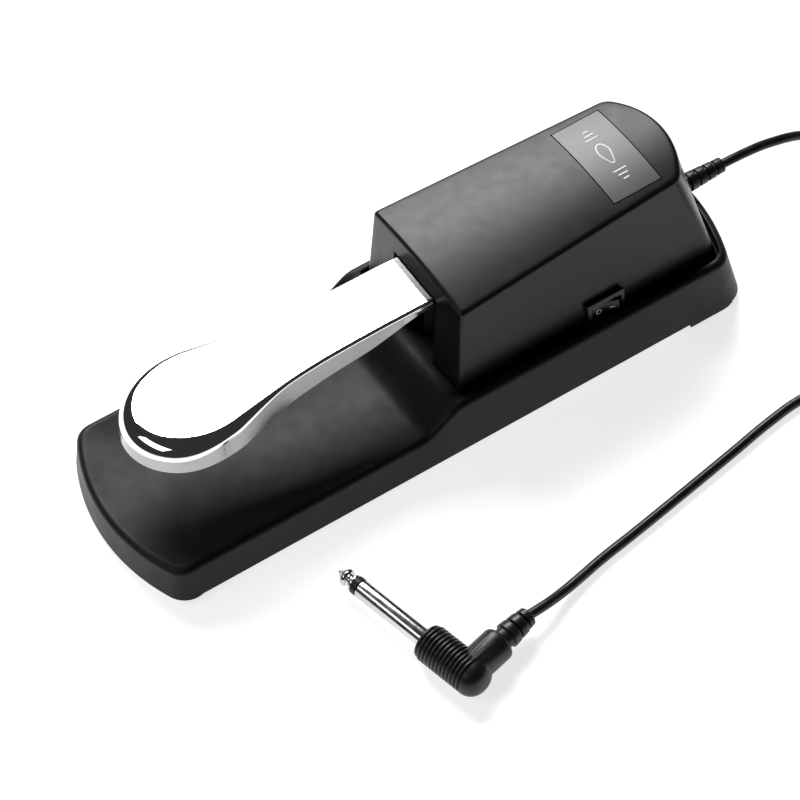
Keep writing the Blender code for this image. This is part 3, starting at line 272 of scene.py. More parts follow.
def make_materials():
    looks = {
        "base_plastic": moulded(
            "base_plastic_fine", (0.0055, 0.0055, 0.0058), 0.46, 0.2, 0.5 * MM, 0.04 * MM
        ),
        "cover_plastic": moulded(
            "cover_plastic_fine", (0.0058, 0.0058, 0.0061), 0.33, 0.26, 0.3 * MM, 0.006 * MM
        ),
        "label_grey": satin("label_satin", (0.078, 0.078, 0.08), 0.42),
        "chrome": metal("chrome_plate", (0.93, 0.93, 0.94), 0.045, 14 * MM, (1, 1, 1), 0.004 * MM),
        "steel": metal("plated_steel", (0.55, 0.56, 0.58), 0.28, 0.5 * MM, (1, 0.1, 1), 0.004 * MM),
        "nickel": metal("nickel_plate", (0.6, 0.595, 0.585), 0.19, 2 * MM, (1, 1, 1), 0.0003 * MM),
        # darker copy of the chrome for the lever's sides: painted shade
        "chrome_painted_shade": metal("chrome_painted_shade", (0.36, 0.36, 0.365), 0.16, 14 * MM, (1, 1, 1), 0.004 * MM),
        "brass": metal("brass_tag", (0.75, 0.6, 0.3), 0.25),
        "rubber": rubbery("rubber_foot", (0.009, 0.009, 0.009), 0.66),
        "moulded_black": rubbery("moulded_pvc", (0.008, 0.008, 0.0082), 0.36, 0.5 * MM),
        "switch_black": moulded("switch_nylon", (0.006, 0.006, 0.006), 0.3, 0.4, 0.15 * MM, 0.003 * MM),
        "switch_body": moulded(
            "microswitch_case", (0.04, 0.042, 0.046), 0.45, 0.4, 0.2 * MM, 0.006 * MM
        ),
        "plunger_red": moulded("plunger_red_nylon", (0.45, 0.03, 0.02), 0.4, 0.4, 0.2 * MM, 0.003 * MM),
        "cord_jacket": rubbery("cord_pvc", (0.008, 0.008, 0.0082), 0.3, 0.7 * MM),
        "wire_red": rubbery("wire_red_pvc", (0.42, 0.02, 0.015), 0.4),
        "wire_white": rubbery("wire_white_pvc", (0.7, 0.7, 0.66), 0.4),
    }
    marks = Shader("printed_white", (0.9, 0.9, 0.9), 0.5)
    marks.tint(marks.noise(0.4 * MM), (0.84, 0.84, 0.84))
    marks.bump(marks.noise(0.2 * MM), 0.01 * MM)
    looks["marks"] = marks.material
    return looks


NODE_LOOKS = {
    "base_plastic": ["base_shell"],
    "cover_plastic": ["housing_cover"],
    "label_grey": ["label_plate"],
    "chrome": ["lever"],
    "steel": [
        "bottom_plate",
        "pivot_bracket",
        "lever_axle",
        "axle_clip_",
        "return_spring",
        "cord_clamp",
        "base_screw_",
        "cover_screw_",
        "bracket_screw_",
        "microswitch_screw_",
        "clamp_screw",
        "microswitch_lever",
    ],
    "nickel": ["plug_tip", "plug_sleeve"],
    "brass": ["microswitch_terminal_", "polarity_terminal_"],
    "rubber": ["front_foot_", "rear_foot", "up_stop_pad", "down_stop_pad"],
    "moulded_black": ["plug_insulator", "plug_body", "plug_boot", "strain_relief", "cord_tie"],
    "switch_black": ["polarity_switch_body", "polarity_rocker", "spring_cap", "spring_seat"],
    "switch_body": ["microswitch_body"],
    "plunger_red": ["microswitch_plunger"],
    "cord_jacket": ["cord_near", "cord_coil", "cord_far", "cord_inner"],
    "wire_red": ["wire_signal", "wire_closed"],
    "wire_white": ["wire_ground", "wire_open"],
}


def dress_nodes(looks):
    for slot, names in NODE_LOOKS.items():
        for node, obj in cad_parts.items():
            if any(node == name or (name.endswith("_") and node.startswith(name)) for name in names):
                obj.data.materials.clear()
                obj.data.materials.append(looks[slot])


# Cord

CORD_RADIUS = 1.75 * MM
FLOOR = 1.8
NEAR_ROUTE = [
    (2, 129, 28.3),
    (2, 134, 28.1),
    (1.8, 140, 27.4),
    (1.8, 146, 26.6),
    (1.9, 151, 25.5),
    (2.1, 157, 23.9),
    (2.4, 162.5, 21.8),
    (3, 170, 18),
    (4.6, 178, 13.2),
    (8, 186, 8.2),
    (13.5, 192.5, 5.0),
    (21.5, 197, 3.0),
    (31, 199.2, 2.05),
    (41, 200, FLOOR),
    (51, 199.8, FLOOR),
    (58, 199.3, FLOOR),
]
FAR_ROUTE = [
    (92.6, 165, FLOOR),
    (92, 155, FLOOR),
    (90.2, 143, FLOOR),
    (87.6, 130, FLOOR),
    (85.3, 116, FLOOR),
    (84, 102.4, FLOOR),
    (85.6, 88, FLOOR),
    (88.4, 73, FLOOR),
    (91.5, 56, FLOOR),
    (94.4, 39.6, FLOOR),
    (96.9, 25, FLOOR),
    (99.3, 10.5, 1.95),
    (101.6, 1, 2.6),
    (103.7, -7.5, 3.7),
    (105.4, -14, 5.5),
]
COIL_CENTRE = (66, 172)
COIL_RADIUS = 19
LAY = 3.5
ROW = 3.04
# Where each turn lies in the bundle's section: half diameters from the middle turn, and the row
TURNS = [(2, 0), (0, 0), (-2, 0), (-3, 1), (-1, 1), (1, 1), (3, 1)]
TURNS += [(2, 2), (0, 2), (-2, 2), (-1, 3), (1, 3), (0, 4)]
CROSSING = -30
CROSSING_WIDTH = 50
COIL_START = 85
# The last turn comes down over the outside: angle in degrees, radius and height in mm
COIL_EXIT = [
    (112, 20.8, 14.4),
    (97, 22.8, 13.8),
    (82, 24.3, 11.7),
    (68, 25.3, 10.0),
    (55, 26.2, 8.4),
    (43, 27.1, 7.0),
    (31, 27.75, 5.2),
    (20, 27.5, 3.7),
    (10, 26.6, 2.2),
]


def turn_place(turn):
    offset, row = TURNS[turn]
    return COIL_RADIUS + offset * LAY / 2, FLOOR + row * ROW


def coil_points():
    """The turns, wound clockwise from above. Each shifts to the next place where the turns cross."""
    points = []
    angle = COIL_START
    end = 130 - 360 * (len(TURNS) - 1)
    while angle > end:
        passed = (CROSSING + CROSSING_WIDTH / 2 - angle) / 360
        turn = max(math.floor(passed) + 1, 0)
        share = (passed - math.floor(passed)) * 360 / CROSSING_WIDTH if passed > 0 else 1.0
        radius, height = turn_place(min(turn, len(TURNS) - 1))
        if share < 1:
            before = turn_place(turn - 1)
            ease = share * share * (3 - 2 * share)
            radius = before[0] + (radius - before[0]) * ease
            lift = 0.9 * math.sin(math.pi * share) * (TURNS[turn - 1][1] + TURNS[turn][1]) / 2
            height = before[1] + (height - before[1]) * ease + lift
        if angle > COIL_START - 40:
            ease = (COIL_START - angle) / 40
            radius += (26.04 - radius) * (1 - ease * ease * (3 - 2 * ease))
        points.append((angle, radius, height))
        angle -= 20
    points += COIL_EXIT
    out = []
    for angle, radius, height in points:
        turn = math.radians(angle)
        out.append(
            (COIL_CENTRE[0] + radius * math.cos(turn), COIL_CENTRE[1] + radius * math.sin(turn), height)
        )
    return out


PLUG_SHOULDER = Vector((95.9, -53.9, 6.7)) * MM
PLUG_HEADING = math.radians(193.6)
PLUG_AXIS = Vector((math.cos(PLUG_HEADING), math.sin(PLUG_HEADING), 0))
PLUG_ARM = Vector((PLUG_AXIS.y, -PLUG_AXIS.x, 0))
PLUG_ELBOW = PLUG_SHOULDER - PLUG_AXIS * 17.8 * MM
BOOT_END = 28.7 * MM


def make_cord(looks):
    boot_end = PLUG_ELBOW + PLUG_ARM * (BOOT_END + 0.1 * MM)
    route = [Vector(p) * MM for p in NEAR_ROUTE + coil_points() + FAR_ROUTE] + [boot_end]
    data = bpy.data.curves.new("cord", "CURVE")
    data.dimensions = "3D"
    data.bevel_depth = CORD_RADIUS
    data.bevel_resolution = 6
    data.use_fill_caps = True
    data.resolution_u = 5
    spline = data.splines.new("BEZIER")
    spline.bezier_points.add(len(route) - 1)
    for point, place in zip(spline.bezier_points, route):
        point.co = place
        point.handle_left_type = point.handle_right_type = "AUTO"
    cord = bpy.data.objects.new("cord", data)
    bpy.context.scene.collection.objects.link(cord)
    data.materials.append(looks["cord_jacket"])
    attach(cord, "base")
    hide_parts("cord_near", "cord_coil", "cord_far")
    return cord


# Outlines, as in the CAD but with finer steps

GAP = 0.3 * MM
BASE_LENGTH = 240 * MM
BASE_HALF_WIDTH = 37.5 * MM
BASE_BOTTOM = 3 * MM
DECK_HEIGHT = 16.1 * MM
RIM_HEIGHT = 24.5 * MM
RISE_START = -16.5 * MM
RISE_END = 0.5 * MM
DISH_DEPTH = 2.8 * MM
TOE_SAGITTA = 9.5 * MM
REAR_SAGITTA = 8.0 * MM
TOE_CORNER = 8 * MM
REAR_CORNER = 9 * MM
WALL_INSET = 1.5 * MM
REAR_DRAFT = 2.6 * MM
RIM_RADIUS = 2.2 * MM
BASE_WALL = 2.5 * MM
PLINTH_FLOOR = 20 * MM

COVER_FRONT = 2.0 * MM
COVER_FRONT_TOP = 6.4 * MM
COVER_REAR = 112.4 * MM
COVER_REAR_TOP = 104.5 * MM
COVER_HALF = 29.5 * MM
COVER_HALF_REAR = 30.0 * MM
COVER_HALF_TOP = 27.3 * MM
COVER_HALF_TOP_REAR = 22.4 * MM
COVER_SAGITTA = 5.2 * MM
COVER_SAGITTA_TOP = 8 * MM
COVER_CORNER = 3.4 * MM
COVER_CORNER_TOP = 6 * MM
COVER_EDGE_FRONT = 58.3 * MM
COVER_EDGE_REAR = 61.1 * MM
COVER_CROWN = 2.2 * MM
COVER_ROUND = 1.6 * MM
COVER_WALL = 2.2 * MM
COVER_LOW = PLINTH_FLOOR + GAP
RECESS_REAR = 113.2 * MM
RECESS_SAGITTA = 6.7 * MM
RECESS_CORNER = 5.5 * MM
SLOT_HALF_WIDTH = 13.1 * MM
SLOT_TOP = 52 * MM
LABEL_HALF_WIDTH = 18.6 * MM
LABEL_FRONT = 72.5 * MM
LABEL_REAR = 91.4 * MM
LABEL_THICK = 0.6 * MM

LEVER_TOP = 51.2 * MM
LEVER_THICK = 1.8 * MM
LEVER_TOE = -100.7 * MM
PAD_CENTRE = -79 * MM
PAD_HALF_WIDTH = 17.8 * MM
NECK_HALF_WIDTH = 10.7 * MM
LEVER_TAIL = 72 * MM
PIVOT_Y = 48 * MM
PIVOT_Z = 43.5 * MM
AXLE_RADIUS = 2.5 * MM
RELIEF_PLACE = Vector((2.0, 104, 28.3)) * MM
RELIEF_END = 128.6 * MM
ROCKER_PLACE = Vector((29.0, 60.85, 26.2)) * MM
ROCKER_LEAN = math.radians(-6.9)
BEZEL_LENGTH = 15 * MM
BEZEL_HEIGHT = 10.5 * MM
ROCKER_AXIS_IN = 1.6 * MM
ROCKER_TILT = math.radians(10)


def smoothstep(value):
    value = min(max(value, 0.0), 1.0)
    return value * value * (3 - 2 * value)


def mirrored_loop(right_side):
    left_side = [Vector((-point.x, point.y)) for point in right_side[1:-1]]
    return right_side + left_side[::-1]


def loft(name, rings, close_top=True, material=None, across=False):
    """A closed skin over equal rings. Without a top, the last ring folds onto a centre line."""
    bm = bmesh.new()
    rows = [[bm.verts.new(point) for point in ring] for ring in rings]
    count = len(rows[0])
    for lower, upper in zip(rows, rows[1:]):
        for n in range(count):
            after = (n + 1) % count
            bm.faces.new((lower[n], lower[after], upper[after], upper[n]))
    for row in [rows[0], rows[-1]] if close_top else [rows[0]]:
        if not across:
            bm.faces.new(row)
            continue
        last = count // 2
        bm.faces.new((row[0], row[1], row[-1]))
        for n in range(1, last - 1):
            bm.faces.new((row[n], row[n + 1], row[-n - 1], row[-n]))
        bm.faces.new((row[last - 1], row[last], row[last + 1]))
    if not close_top:
        bmesh.ops.remove_doubles(bm, verts=bm.verts, dist=1e-6)
        bmesh.ops.dissolve_degenerate(bm, edges=bm.edges, dist=1e-7)
    bmesh.ops.recalc_face_normals(bm, faces=bm.faces)
    return add_bmesh(name, bm, material)


def add_bmesh(name, bm, material=None):
    mesh = bpy.data.meshes.new(name)
    bm.to_mesh(mesh)
    bm.free()
    obj = bpy.data.objects.new(name, mesh)
    bpy.context.scene.collection.objects.link(obj)
    if material:
        mesh.materials.append(material)
    return obj


def block(name, low, high, bevel=0.0, segments=3, material=None):
    bm = bmesh.new()
    bmesh.ops.create_cube(bm, size=1)
    low = Vector(low)
    high = Vector(high)
    for vert in bm.verts:
        vert.co = Vector(((high[n] + low[n]) / 2 + vert.co[n] * (high[n] - low[n]) for n in range(3)))
    if bevel:
        bmesh.ops.bevel(bm, geom=bm.edges, offset=bevel, segments=segments, profile=0.5, affect="EDGES")
    return add_bmesh(name, bm, material)


def rod(name, place, radius, length, axis=(0, 0, 1), steps=48):
    axis = Vector(axis)
    place = Vector(place)
    return lathe(name, [(-length / 2, radius), (length / 2, radius)], place, axis, steps=steps)


def boolean(target, other, operation="DIFFERENCE"):
    """Cuts or joins for good, and removes the other piece."""
    modifier = target.modifiers.new("boolean", "BOOLEAN")
    modifier.operation = operation
    modifier.solver = "EXACT"
    modifier.object = other
    bpy.context.view_layer.update()
    evaluated = target.evaluated_get(bpy.context.evaluated_depsgraph_get())
    mesh = bpy.data.meshes.new_from_object(evaluated)
    target.modifiers.clear()
    target.data = mesh
    bpy.data.objects.remove(other)


def smooth(obj, angle=30):
    mesh = obj.data
    mesh.polygons.foreach_set("use_smooth", [True] * len(mesh.polygons))
    mesh.set_sharp_from_angle(angle=math.radians(angle))
    return obj


def stand_for(obj, node, body, slot):
    obj.data.materials.clear()
    obj.data.materials.append(looks[slot])
    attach(obj, body)
    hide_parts(node)
    return obj


# Base


def base_outline(inset, draft=0.0):
    half = BASE_HALF_WIDTH - inset
    toe = -BASE_LENGTH / 2 + inset
    rear = BASE_LENGTH / 2 - inset - draft
    toe_radius = (half**2 + TOE_SAGITTA**2) / (2 * TOE_SAGITTA)
    rear_radius = (half**2 + REAR_SAGITTA**2) / (2 * REAR_SAGITTA)
    toe_corner = max(TOE_CORNER - inset / 2, 1 * MM)
    rear_corner = max(REAR_CORNER - inset / 2, 1 * MM)
    toe_y = toe + toe_radius - math.sqrt((toe_radius - toe_corner) ** 2 - (half - toe_corner) ** 2)
    rear_y = rear - rear_radius + math.sqrt((rear_radius - rear_corner) ** 2 - (half - rear_corner) ** 2)
    toe_turn = math.atan2(toe_y - toe - toe_radius, half - toe_corner)
    rear_turn = math.atan2(rear_y - rear + rear_radius, half - rear_corner)
    side = [-96, -88, -80, -70, -60, -50, -40, -32, -26, *range(-22, 7), 12, 20, 30, 45, 60, 75, 90]
    points = arc((0, toe + toe_radius), toe_radius, -math.pi / 2, toe_turn, 18)
    points += arc((half - toe_corner, toe_y), toe_corner, toe_turn, 0, 10)
    points += [Vector((half, toe_y))]
    points += [Vector((half, y * MM)) for y in side]
    points += arc((half - rear_corner, rear_y), rear_corner, 0, rear_turn, 12)
    points += arc((0, rear - rear_radius), rear_radius, rear_turn, math.pi / 2, 18)
    points += [Vector((0, rear))]
    return mirrored_loop(points)


def rim_height(y):
    share = smoothstep((y - RISE_START) / (RISE_END - RISE_START))
    return DECK_HEIGHT + (RIM_HEIGHT - DECK_HEIGHT) * share


def base_skin(name, inset, low, drop, ceiling):
    outer = base_outline(inset)
    rings = [[(p.x, p.y, low) for p in outer]]
    for turn in range(0, 91, 10):
        angle = math.radians(turn)
        shrink = WALL_INSET + RIM_RADIUS * (1 - math.cos(angle))
        fall = RIM_RADIUS * (1 - math.sin(angle)) + drop
        ring = base_outline(inset + shrink, REAR_DRAFT)
        rings.append([(p.x, p.y, min(rim_height(p.y) - fall, ceiling)) for p in ring])
    rim = base_outline(inset + WALL_INSET + RIM_RADIUS, REAR_DRAFT)
    spine = 0.45 * BASE_LENGTH - 24 * MM
    for share in (0.02, 0.05, 0.09, 0.14, 0.2, 0.28, 0.37, 0.47, 0.58, 0.7, 0.82, 0.92, 1.0):
        ring = []
        for p in rim:
            centre = Vector((0, min(max(p.y, -spine), spine)))
            q = p.lerp(centre, share)
            dish = DISH_DEPTH * (1 - (1 - share) ** 2)
            ring.append((q.x, q.y, min(rim_height(q.y) - dish - drop, ceiling)))
        rings.append(ring)
    return loft(name, rings, close_top=False)


def recess_outline():
    half = BASE_HALF_WIDTH - WALL_INSET - RIM_RADIUS - 0.9 * MM
    corner = RECESS_CORNER
    radius = (half**2 + RECESS_SAGITTA**2) / (2 * RECESS_SAGITTA)
    corner_y = RECESS_REAR - radius + math.sqrt((radius - corner) ** 2 - (half - corner) ** 2)
    turn = math.atan2(corner_y - RECESS_REAR + radius, half - corner)
    front = COVER_FRONT - GAP
    points = [Vector((0, front))]
    points += arc((half - MM, front + MM), MM, -math.pi / 2, 0, 5)
    points += arc((half - corner, corner_y), corner, 0, turn, 10)
    points += arc((0, RECESS_REAR - radius), radius, turn, math.pi / 2, 16)
    points += [Vector((0, RECESS_REAR))]
    return mirrored_loop(points)


def make_fine_base():
    base = base_skin("base_fine", 0, BASE_BOTTOM, 0, 1)
    boolean(base, base_skin("base_hollow", BASE_WALL, -2 * MM, BASE_WALL, PLINTH_FLOOR - BASE_WALL))
    rings = [[(p.x, p.y, z) for p in recess_outline()] for z in (PLINTH_FLOOR, 30 * MM)]
    boolean(base, loft("cover_recess", rings))
    smooth(base, 32)
    stand_for(base, "base_shell", "base", "base_plastic")


# Cover


def cover_outline(level, inset=0.0, front_corner=1.5 * MM):
    half = COVER_HALF + (COVER_HALF_TOP - COVER_HALF) * level - inset
    half_rear = COVER_HALF_REAR + (COVER_HALF_TOP_REAR - COVER_HALF_REAR) * level - inset
    front = COVER_FRONT + (COVER_FRONT_TOP - COVER_FRONT) * level + inset
    rear = COVER_REAR + (COVER_REAR_TOP - COVER_REAR) * level - inset
    corner = max(COVER_CORNER + (COVER_CORNER_TOP - COVER_CORNER) * level - inset / 2, 1 * MM)
    front_corner = max(front_corner - inset / 2, 0.4 * MM)
    sagitta = COVER_SAGITTA + (COVER_SAGITTA_TOP - COVER_SAGITTA) * level
    radius = (half_rear**2 + sagitta**2) / (2 * sagitta)
    corner_y = rear - radius + math.sqrt((radius - corner) ** 2 - (half_rear - corner) ** 2)
    turn = math.atan2(corner_y - rear + radius, half_rear - corner)
    points = [Vector((half * share, front)) for share in (0, 0.16, 0.32, 0.5, 0.68, 0.84)]
    points += arc((half - front_corner, front + front_corner), front_corner, -math.pi / 2, 0, 8)
    start = Vector((half, front + front_corner))
    stop = Vector((half_rear, corner_y))
    points += [start.lerp(stop, n / 12) for n in range(1, 12)]
    points += arc((half_rear - corner, corner_y), corner, 0, turn, 14)
    points += arc((0, rear - radius), radius, turn, math.pi / 2, 18)
    points += [Vector((0, rear))]
    return mirrored_loop(points)


def cover_edge(y):
    share = (y - COVER_FRONT_TOP) / (COVER_REAR_TOP - COVER_FRONT_TOP)
    return COVER_EDGE_FRONT + (COVER_EDGE_REAR - COVER_EDGE_FRONT) * min(max(share, 0.0), 1.0)


def cover_half_top(y):
    share = (y - COVER_FRONT_TOP) / (COVER_REAR_TOP - COVER_FRONT_TOP)
    return COVER_HALF_TOP + (COVER_HALF_TOP_REAR - COVER_HALF_TOP) * min(max(share, 0.0), 1.0)


def cover_top(x, y):
    share = min(abs(x) / cover_half_top(y), 1.0)
    return cover_edge(y) + COVER_CROWN * (1 - share**2)


def cover_skin(name, inset, low, drop):
    rings = [[(p.x, p.y, low) for p in cover_outline(0, inset)]]
    for turn in range(0, 91, 10):
        angle = math.radians(turn)
        ring = cover_outline(1, inset + COVER_ROUND * (1 - math.cos(angle)))
        fall = COVER_ROUND * (1 - math.sin(angle)) + drop
        rings.append([(p.x, p.y, cover_top(p.x, p.y) - fall) for p in ring])
    rim = cover_outline(1, inset + COVER_ROUND)
    for share in (0.04, 0.1, 0.2, 0.32, 0.45, 0.58, 0.7, 0.82, 0.92, 1.0):
        ring = []
        for p in rim:
            centre = Vector((0, min(max(p.y, COVER_FRONT_TOP + 20 * MM), COVER_REAR_TOP - 25 * MM)))
            if abs(p.y - COVER_FRONT_TOP - inset - COVER_ROUND) < 0.1 * MM:
                centre = Vector((0, COVER_FRONT_TOP + 20 * MM))
            q = p.lerp(centre, share)
            ring.append((q.x, q.y, cover_top(q.x, q.y) - drop))
        rings.append(ring)
    return loft(name, rings, close_top=False)


def label_block(name, grow, depth, height):
    bm = bmesh.new()
    bmesh.ops.create_grid(bm, x_segments=36, y_segments=6, size=0.5)
    sheet = list(bm.faces)
    for vert in bm.verts:
        x = vert.co.x * 2 * (LABEL_HALF_WIDTH + grow)
        y = (LABEL_FRONT + LABEL_REAR) / 2 + vert.co.y * (LABEL_REAR - LABEL_FRONT + 2 * grow)
        vert.co = (x, y, cover_top(x, y) - depth)
    lifted = bmesh.ops.extrude_face_region(bm, geom=sheet)
    top = [item for item in lifted["geom"] if isinstance(item, bmesh.types.BMVert)]
    bmesh.ops.translate(bm, vec=(0, 0, depth + height), verts=top)
    bmesh.ops.recalc_face_normals(bm, faces=bm.faces)
    return add_bmesh(name, bm)


def rocker_matrix():
    return Matrix.Translation(ROCKER_PLACE) @ Matrix.Rotation(ROCKER_LEAN, 4, "Y")


def make_fine_cover():
    cover = cover_skin("cover_fine", 0, COVER_LOW, 0)
    below = COVER_LOW - 5 * MM
    boolean(cover, cover_skin("cover_hollow", COVER_WALL, below, COVER_WALL))
    low = (-SLOT_HALF_WIDTH, -6 * MM, below)
    boolean(cover, block("lever_slot", low, (SLOT_HALF_WIDTH, COVER_FRONT_TOP + 6 * MM, SLOT_TOP)))
    window = block("rocker_window", (-9 * MM, -6.8 * MM, -4.4 * MM), (9 * MM, 6.8 * MM, 4.4 * MM))
    window.data.transform(rocker_matrix())
    boolean(cover, window)
    place = (RELIEF_PLACE.x, COVER_REAR, RELIEF_PLACE.z)
    boolean(cover, rod("relief_hole", place, 3.8 * MM, 24 * MM, (0, 1, 0)))
    boolean(cover, label_block("label_recess", 0.3 * MM, LABEL_THICK + 0.25 * MM, 3 * MM))
    smooth(cover, 32)
    stand_for(cover, "housing_cover", "base", "cover_plastic")
    label = smooth(label_block("label_fine", -0.1 * MM, LABEL_THICK - 0.05 * MM, 0.05 * MM), 32)
    stand_for(label, "label_plate", "base", "label_grey")


# Lever

LEVER_NECK = [
    (-79, 17.8),
    (-74, 17.4),
    (-69, 16.2),
    (-61, 14.4),
    (-50, 12.5),
    (-38, 11.4),
    (-25, 10.9),
    (-14, 10.7),
]


def lever_half_width(y):
    stations = [Vector((station * MM, half * MM)) for station, half in LEVER_NECK]
    if y >= stations[-1].x:
        return NECK_HALF_WIDTH
    index = max(n for n, station in enumerate(stations) if station.x <= y)
    start = stations[index]
    stop = stations[index + 1]
    before = stations[max(index - 1, 0)]
    after = stations[min(index + 2, len(stations) - 1)]
    span = stop.x - start.x
    t = (y - start.x) / span
    slope_start = 0 if index == 0 else (stop.y - before.y) / (stop.x - before.x)
    slope_stop = (after.y - start.y) / (after.x - start.x)
    return (
        (2 * t**3 - 3 * t**2 + 1) * start.y
        + (t**3 - 2 * t**2 + t) * span * slope_start
        + (-2 * t**3 + 3 * t**2) * stop.y
        + (t**3 - t**2) * span * slope_stop
    )


def lever_edge_radius(y):
    toe = smoothstep((PAD_CENTRE + 4 * MM - y) / (20 * MM))
    pad = smoothstep((-50 * MM - y) / (26 * MM))
    return (1.1 + 1.4 * pad + 1.7 * toe) * MM


def band_radius(y):
    return lever_edge_radius(y) * (1.05 + 0.45 * smoothstep((-50 * MM - y) / (30 * MM)))


def lever_skirt_bottom(y):
    pad = LEVER_TOP - 9.8 * MM
    neck = LEVER_TOP - 7.0 * MM
    along = pad + (neck - pad) * smoothstep((y + 70 * MM) / (60 * MM))
    plate = LEVER_TOP - LEVER_THICK
    return along + (plate - along) * smoothstep((y + 26 * MM) / (30 * MM)) ** 1.3


def lever_outline(edge_share, grow):
    flat = []
    for n in range(33):
        angle = -math.pi / 2 + math.pi / 2 * n / 32
        length = PAD_CENTRE - LEVER_TOE
        flat.append(Vector((PAD_HALF_WIDTH * math.cos(angle), PAD_CENTRE + length * math.sin(angle))))
    for y in [-77, -75, -73, *range(-71, 0, 2), 3, 10, 20, 45]:
        flat.append(Vector((lever_half_width(y * MM), y * MM)))
    flat.append(Vector((NECK_HALF_WIDTH, LEVER_TAIL)))
    grown = []
    for n, point in enumerate(flat):
        before = flat[n - 1] if n else Vector((-flat[1].x, flat[1].y))
        after = flat[n + 1] if n + 1 < len(flat) else point + Vector((0, MM))
        along = (after - before).normalized()
        distance = lever_edge_radius(point.y) + (edge_share - 1) * band_radius(point.y) + grow
        grown.append(point + Vector((along.y, -along.x)) * distance)
    grown[0].x = 0
    return mirrored_loop(grown + [Vector((0, LEVER_TAIL + 1.5 * MM))])


FLARE = 0.6 * MM


def lever_rings(inset, drop, low=None):
    """The skirt leans out a little to its lower edge, then the edge rounds over to the flat top."""
    rings = []
    for share in (0.0, 0.12, 0.3, 0.55, 0.8):
        ring = []
        for p, q in zip(lever_outline(1, FLARE * (1 - share) - inset), lever_outline(1, 0)):
            bottom = lever_skirt_bottom(q.y) if low is None else low
            top = LEVER_TOP - band_radius(q.y) - drop
            ring.append((p.x, p.y, bottom + (max(top, bottom) - bottom) * share))
        rings.append(ring)
    for turn in range(0, 91, 6):
        angle = math.radians(turn)
        ring = []
        for p in lever_outline(math.cos(angle), -inset):
            fall = band_radius(p.y) * (1 - math.sin(angle)) + drop
            ring.append((p.x, p.y, LEVER_TOP - fall))
        rings.append(ring)
    if low is None:
        rings.append([(p.x, p.y, LEVER_TOP - drop) for p in lever_outline(0, -0.35 * MM)])
    return rings


def make_fine_lever():
    lever = loft("lever_fine", lever_rings(0, 0), across=True)
    hollow = loft("lever_hollow", lever_rings(1.3 * MM, LEVER_THICK, 30 * MM), across=True)
    boolean(hollow, block("hollow_end", (-30 * MM, -8 * MM, 20 * MM), (30 * MM, 90 * MM, 60 * MM)))
    boolean(lever, hollow)
    for side in (-1, 1):
        inner, outer = sorted((side * 8.6 * MM, side * 10.4 * MM))
        low = (inner, PIVOT_Y - 7 * MM, PIVOT_Z - 5.5 * MM)
        ear = block(f"lever_ear_{side}", low, (outer, PIVOT_Y + 7 * MM, LEVER_TOP - 0.5 * MM))
        boolean(lever, ear, "UNION")
    bore = rod("lever_bore", (0, PIVOT_Y, PIVOT_Z), AXLE_RADIUS + GAP, 40 * MM, (1, 0, 0))
    boolean(lever, bore)
    smooth(lever, 32)
    stand_for(lever, "lever", "lever", "chrome")
    # painted shade: the lever's side faces below the rounded top edge take the darker copy of the chrome
    lever.data.materials.append(looks["chrome_painted_shade"])
    for face in lever.data.polygons:
        y = face.center.y
        band = LEVER_TOP - band_radius(y) * 0.8
        if y < 0 and face.center.z < band and abs(face.normal.z) < 0.5:
            face.material_index = 1


# Return spring

SPRING_Y = 25 * MM
SPRING_LOW = 22.5 * MM
SPRING_HIGH = 46.9 * MM
SPRING_REACH = 5.3 * MM
SPRING_WIRE = 0.7 * MM
SPRING_TURNS = 7


def make_fine_spring():
    """Stands on its seat."""
    steps = 28
    count = SPRING_TURNS * steps
    centres = []
    for n in range(count + 1):
        angle = 2 * math.pi * n / steps
        share = 0.35 * smoothstep(n / count) + 0.65 * n / count
        height = SPRING_LOW + (SPRING_HIGH - SPRING_LOW) * share
        place = (SPRING_REACH * math.cos(angle), SPRING_Y + SPRING_REACH * math.sin(angle), height)
        centres.append(Vector(place))
    rings = []
    for n, centre in enumerate(centres):
        along = (centres[min(n + 1, count)] - centres[max(n - 1, 0)]).normalized()
        out = Vector((centre.x, centre.y - SPRING_Y, 0)).normalized()
        up = along.cross(out).normalized()
        turns = [2 * math.pi * k / 12 for k in range(12)]
        rings.append([centre + (out * math.cos(t) + up * math.sin(t)) * SPRING_WIRE for t in turns])
    spring = smooth(loft("spring_fine", rings), 50)
    stand_for(spring, "return_spring", "base", "steel")
    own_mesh(spring)


# Rocker switch


